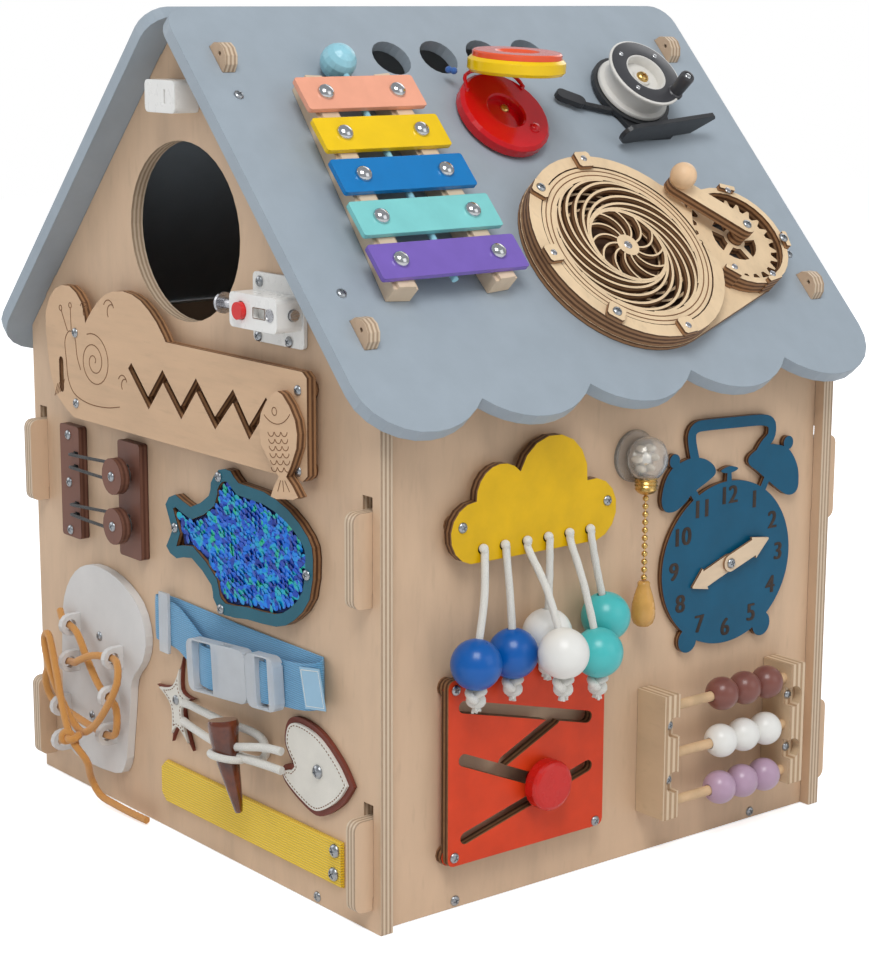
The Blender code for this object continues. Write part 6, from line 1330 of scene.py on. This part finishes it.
PULL_SHARES = (
    (0.0, 0.0), (0.4, 0.0), (0.52, 0.04), (0.5, 0.1), (0.58, 0.16), (0.75, 0.3), (0.92, 0.5), (1.0, 0.68),
    (0.97, 0.82), (0.8, 0.94), (0.55, 1.0), (0.0, 1.0),
)
PULL_RADIUS = 0.007
PULL_LENGTH = 0.026


def build_lamp():
    spot = place_at(RIGHT, *LAMP_PLACE)
    piece("lamp_plate", turned(LAMP_PLATE, 48), "plastic_clear", spot, "house", 35, ["lamp"])
    piece("lamp_globe", turned(LAMP_GLOBE, 48), "glass", spot, "house", 60)
    piece("lamp_core", turned(LAMP_CORE, 32), "lamp_core", spot)
    petals = []
    for centre in circle(0.0066, 6):
        petals.append(place_at(spot, *centre, 0.01) @ Matrix.Diagonal((1, 1, 1.9, 1)))
    piece("lamp_leds", repeated(ball_mesh(0.0022, 16, 8), petals), "lamp_led")
    across = LAMP_PLACE[0]
    place = place_at(RIGHT, across, 0.229, COLLAR_OFF) @ UPRIGHT
    piece("lamp_collar", turned(LAMP_COLLAR, 40), "brass", place, "house", 50)
    bead = ball_mesh(0.0018, 18, 10)
    link = tube([(0, 0, 0), (0, 0, CHAIN_PITCH)], 0.0004, 6)
    chain = []
    for index in range(11):
        spot = place_at(RIGHT, across, 0.2166 - CHAIN_PITCH * index, COLLAR_OFF)
        spot = spot @ Matrix.Rotation(-math.pi / 2, 4, "X")
        chain += [(bead, spot), (link, spot)]
    piece("lamp_chain", joined(chain), "brass", None, "lamp_pull", 60, ["lamp_pull"])
    pull = turned([(PULL_RADIUS * wide, PULL_LENGTH * high) for wide, high in PULL_SHARES], 32)
    place = place_at(RIGHT, across, 0.1684, COLLAR_OFF) @ UPRIGHT
    piece("lamp_pull_knob", pull, "pull", place, "lamp_pull", 60)


CLOCK_PLACE = (0.0875, 0.167)
CLOCK_TOP = 0.004
CLOCK_HANDLE = (
    (-0.0277, 0.063), (-0.0309, 0.0742), (-0.0312, 0.0805), (-0.0278, 0.0838), (-0.0206, 0.0844),
    (0.0026, 0.0835), (0.0263, 0.0823), (0.0338, 0.0799), (0.0353, 0.0759), (0.0341, 0.0712), (0.0287, 0.067),
    (0.0238, 0.061),
)
CLOCK_BELLS = (
    (
        (-0.0391, 0.065), (-0.0306, 0.0663), (-0.0206, 0.0646), (-0.0131, 0.0599), (-0.0113, 0.0551),
        (-0.0162, 0.0516), (-0.024, 0.0481), (-0.0305, 0.0449), (-0.0362, 0.04), (-0.0438, 0.0366),
        (-0.0511, 0.0374), (-0.0545, 0.0436), (-0.0523, 0.0545), (-0.0467, 0.0619),
    ),
    (
        (0.0278, 0.0663), (0.0383, 0.0664), (0.0505, 0.0617), (0.0581, 0.0511), (0.0597, 0.0402),
        (0.0572, 0.0348), (0.0505, 0.034), (0.042, 0.0386), (0.0339, 0.0444), (0.024, 0.0516),
        (0.0162, 0.0573), (0.0174, 0.0622),
    ),
)
CLOCK_CAP = (
    (-0.0072, 0.0556), (-0.0037, 0.0571), (0.0001, 0.0577), (0.0042, 0.0571), (0.0076, 0.0556),
    (0.0042, 0.0541), (0.0001, 0.0537), (-0.0037, 0.0541),
)
CLOCK_STEM = ((-0.0022, 0.045), (0.0026, 0.045), (0.0018, 0.055), (-0.0014, 0.055))
CLOCK_BARS = (
    (((-0.0447, 0.0662), (-0.04, 0.06)), 0.0032),
    (((0.0497, 0.066), (0.046, 0.059)), 0.0032),
    (((-0.03, 0.047), (-0.025, 0.04)), 0.005),
    (((0.033, 0.048), (0.0285, 0.04)), 0.005),
)


def build_clock_face():
    angles = [math.tau * index / 120 for index in range(120)]
    face = [(0.053 * math.cos(angle), 0.049 * math.sin(angle)) for angle in angles]
    outlines = [face, band(smooth_line(flat_vectors(CLOCK_HANDLE), 60), 0.0066)]
    outlines += [closed_line(bell, 40) for bell in CLOCK_BELLS]
    outlines += [closed_line(CLOCK_CAP, 14), CLOCK_STEM]
    outlines += [circle(0.0041, 24, place) for place in ((-0.0447, 0.0662), (0.0497, 0.066))]
    outlines += [band(points, width) for points, width in CLOCK_BARS]
    outlines += [circle(0.0074, 28, (x, -0.0427)) for x in (-0.031, 0.031)]
    mesh = combined([plate([outline], GAP, CLOCK_TOP) for outline in outlines], "UNION")
    piece("clock_face", mesh, "clock", place_at(RIGHT, *CLOCK_PLACE), "house", 30, ["clock_dial"])


def build_clock_details():
    parts = []
    for hour in range(1, 13):
        angle = math.radians(90 - 30 * hour)
        x = CLOCK_PLACE[0] + 0.0435 * math.cos(angle)
        y = CLOCK_PLACE[1] + 0.04 * math.sin(angle)
        # Four copies side by side make the strokes of a numeral bolder
        for order, slide in enumerate((-0.0006, -0.0002, 0.0002, 0.0006)):
            spot = place_at(RIGHT, x + slide, y, CLOCK_TOP + 0.00006 + 0.00003 * order)
            parts.append((text_mesh(str(hour), 0.015, 0.00016), spot))
    # The numerals are cut through the dial; their dark colour is partly the burnt walls of the cuts and
    # partly painted shade inside them
    piece("clock_numerals", joined(parts), "dark_burn")
    screws("clock_screw", RIGHT, [CLOCK_PLACE], 0.0077)
    half = 0.0052
    barb = 0.007
    neck = 0.0203
    for name, angle, reach, low in (("hour", -160.0, 0.0315, 0.0044), ("minute", 18.8, 0.0333, 0.006)):
        hand = arc_points((0, 0), half, math.pi / 2, math.pi, 20)
        hand += [(neck, -half), (neck, -barb), (reach, -0.0005), (reach, 0.0005), (neck, barb), (neck, half)]
        spot = place_at(RIGHT, *CLOCK_PLACE, low, math.radians(angle))
        node = name + "_hand"
        piece(name + "_pointer", plate([hand], 0, 0.0014), "right_laser", spot, node, 30, [node])


def build_maze_screws():
    places = [(-0.123, 0.129), (-0.02, 0.032), (-0.1236, 0.034), (-0.02, 0.129)]
    screws("maze_screws", RIGHT, places, PANEL_TOP)


ABACUS_ROWS = ((0.092, "mauve"), (0.063, "bead_white"), (0.034, "lilac"))
ABACUS_SCREW_ROWS = (0.081, 0.048)
ABACUS_BEAD_RADIUS = 0.01
ABACUS_BORE = 0.0033
ABACUS_OFF = 0.017
ABACUS_SCREW_OFF = 0.0175
BLOCK_THICKNESS = 0.012
BLOCK_OUTLINE = (
    (0, 0.0262), (0.0006, 0.026), (0.0114, 0.026), (BLOCK_THICKNESS, 0.0266), (BLOCK_THICKNESS, 0.1004),
    (0.0114, 0.101), (0.0006, 0.101), (0, 0.1008),
)


def build_abacus():
    blocks = []
    heads = []
    for side, y in ((1, 0.021), (-1, 0.126)):
        inner = BLOCK_THICKNESS if side > 0 else 0
        meshes = [plate([BLOCK_OUTLINE], GAP, 0.0233)]
        for z in ABACUS_SCREW_ROWS:
            notch = disc(0.0064, 0.05, 40)
            notch.transform(Matrix.Translation((inner - side * 0.0034, z, ABACUS_SCREW_OFF)))
            meshes.append(notch)
            heads.append((y + inner - side * 0.0032, z))
        blocks.append((combined(meshes, "DIFFERENCE"), place_at(RIGHT, y, 0)))
    piece("abacus_blocks", joined(blocks), "holder", None, "house", 30, ["abacus_frame"])
    screws("abacus_screws", RIGHT, heads, ABACUS_SCREW_OFF, mesh=screw_mesh(0.0028, 0.0016))
    rods = [place_at(RIGHT, 0.032, z, ABACUS_OFF) @ ALONG_X for z, colour in ABACUS_ROWS]
    piece("abacus_rods", repeated(disc(0.003, 0.095, 24), rods), "rod")
    bead = ball_mesh(ABACUS_BEAD_RADIUS, 32, 14, ABACUS_BORE)
    flat = math.sqrt(ABACUS_BEAD_RADIUS**2 - ABACUS_BORE**2)
    for row, (z, colour) in enumerate(ABACUS_ROWS):
        spots = []
        for index in range(3):
            spots.append(place_at(RIGHT, 0.064 + flat * (2 * index + 1), z, ABACUS_OFF) @ ALONG_X)
        node = "bead_row_%d" % (row + 1)
        piece("abacus_beads_%d" % (row + 1), repeated(bead, spots), colour, None, node, 40, [node])


def build_last_screws():
    screws("gable_screw", FRONT, [(0.1228, 0.0042)])
    screws("wall_screws", RIGHT, [(-0.115, 0.004), (0.118, 0.004)])


build_chimes()
build_castanet()
build_reel()
build_wheel()
build_gear_details()
build_latch_details()
build_zigzag_details()
build_slider_details()
build_elastic_board()
build_sequins()
build_lace()
build_strap()
build_patches()
build_toggle()
build_yellow_strap()
build_drops()
build_lamp()
build_clock_face()
build_clock_details()
build_maze_screws()
build_abacus()
build_last_screws()


# Camera, light and floor
CAMERA_PLACE = (1.112605, -0.878943, 0.49547)
CAMERA_YAW = math.radians(51.422)
CAMERA_FALL = math.radians(11.964)
CAMERA_ROLL = math.radians(0.179)
SENSOR_WIDTH = 36.0
FOCAL_SHARE = 2323.61 / 970
AIM = Vector((0, 0, 0.25))
LIGHTS = (
    ("key", (1.35, -1.0, 2.3), 1.2, 37.0),
    ("fill", (-1.9, -1.3, 1.2), 1.6, 12.5),
    ("side", (2.0, 0.9, 1.1), 1.5, 6.5),
    ("rear", (-0.9, 1.9, 1.5), 1.6, 11.0),
)


def build_camera(scene):
    camera = linked("camera", bpy.data.cameras.new("camera"))
    fall = math.cos(CAMERA_FALL)
    ahead = Vector((-math.sin(CAMERA_YAW) * fall, math.cos(CAMERA_YAW) * fall, -math.sin(CAMERA_FALL)))
    side = Vector((math.cos(CAMERA_YAW), math.sin(CAMERA_YAW), 0))
    above = side.cross(ahead)
    side_rolled = side * math.cos(CAMERA_ROLL) + above * math.sin(CAMERA_ROLL)
    above_rolled = above * math.cos(CAMERA_ROLL) - side * math.sin(CAMERA_ROLL)
    rotation = Matrix((side_rolled, above_rolled, -ahead)).transposed().to_4x4()
    camera.matrix_world = Matrix.Translation(CAMERA_PLACE) @ rotation
    camera.data.sensor_width = SENSOR_WIDTH
    camera.data.lens = FOCAL_SHARE * SENSOR_WIDTH
    camera.data.clip_start = 0.05
    camera.data.clip_end = 20
    scene.camera = camera


def build_world(scene):
    """White where the camera looks past the house, a soft pale blue for the light on it."""
    world = bpy.data.worlds.new("soft_world")
    scene.world = world
    world.use_nodes = True
    nodes = world.node_tree.nodes
    links = world.node_tree.links
    back = nodes["Background"]
    white = nodes.new("ShaderNodeBackground")
    for item, colour, strength in ((back, (0.93, 0.96, 1.0, 1), 0.42), (white, (1, 1, 1, 1), 1.0)):
        item.inputs["Color"].default_value = colour
        item.inputs["Strength"].default_value = strength
    path = nodes.new("ShaderNodeLightPath")
    either = nodes.new("ShaderNodeMath")
    either.operation = "MAXIMUM"
    links.new(path.outputs["Is Camera Ray"], either.inputs[0])
    links.new(path.outputs["Is Transmission Ray"], either.inputs[1])
    mix = nodes.new("ShaderNodeMixShader")
    links.new(either.outputs[0], mix.inputs["Fac"])
    links.new(back.outputs["Background"], mix.inputs[1])
    links.new(white.outputs["Background"], mix.inputs[2])
    links.new(mix.outputs["Shader"], nodes["World Output"].inputs["Surface"])


def build_lights():
    for name, place, size, power in LIGHTS:
        data = bpy.data.lights.new(name, "AREA")
        data.size = size
        data.energy = power
        lamp = linked(name, data)
        lamp.location = place
        lamp.rotation_euler = (AIM - Vector(place)).to_track_quat("-Z", "Y").to_euler()


def build_floor():
    """A pale floor that glows a little where the camera sees it."""
    bm = bmesh.new()
    bmesh.ops.create_grid(bm, x_segments=1, y_segments=1, size=4.0)
    mesh = finish_mesh(bm, False)
    floor = linked("floor", mesh)
    floor.location.z = -0.0005
    look = Look("pale_floor", (0.93, 0.93, 0.93), 0.7)
    matt = look.shader.outputs["BSDF"]
    glow = look.node("ShaderNodeEmission", {"Strength": 0.62}, "Emission")
    lit = look.node("ShaderNodeAddShader", {0: matt, 1: glow}, 0)
    seen = look.node("ShaderNodeLightPath", {}, "Is Camera Ray")
    mixed = look.node("ShaderNodeMixShader", {"Fac": seen, 1: matt, 2: lit}, 0)
    look.links.new(mixed, look.nodes["Material Output"].inputs["Surface"])
    mesh.materials.append(look.material)


stage_scene = bpy.context.scene
stage_scene.view_settings.view_transform = "Standard"
build_camera(stage_scene)
build_world(stage_scene)
build_lights()
build_floor()
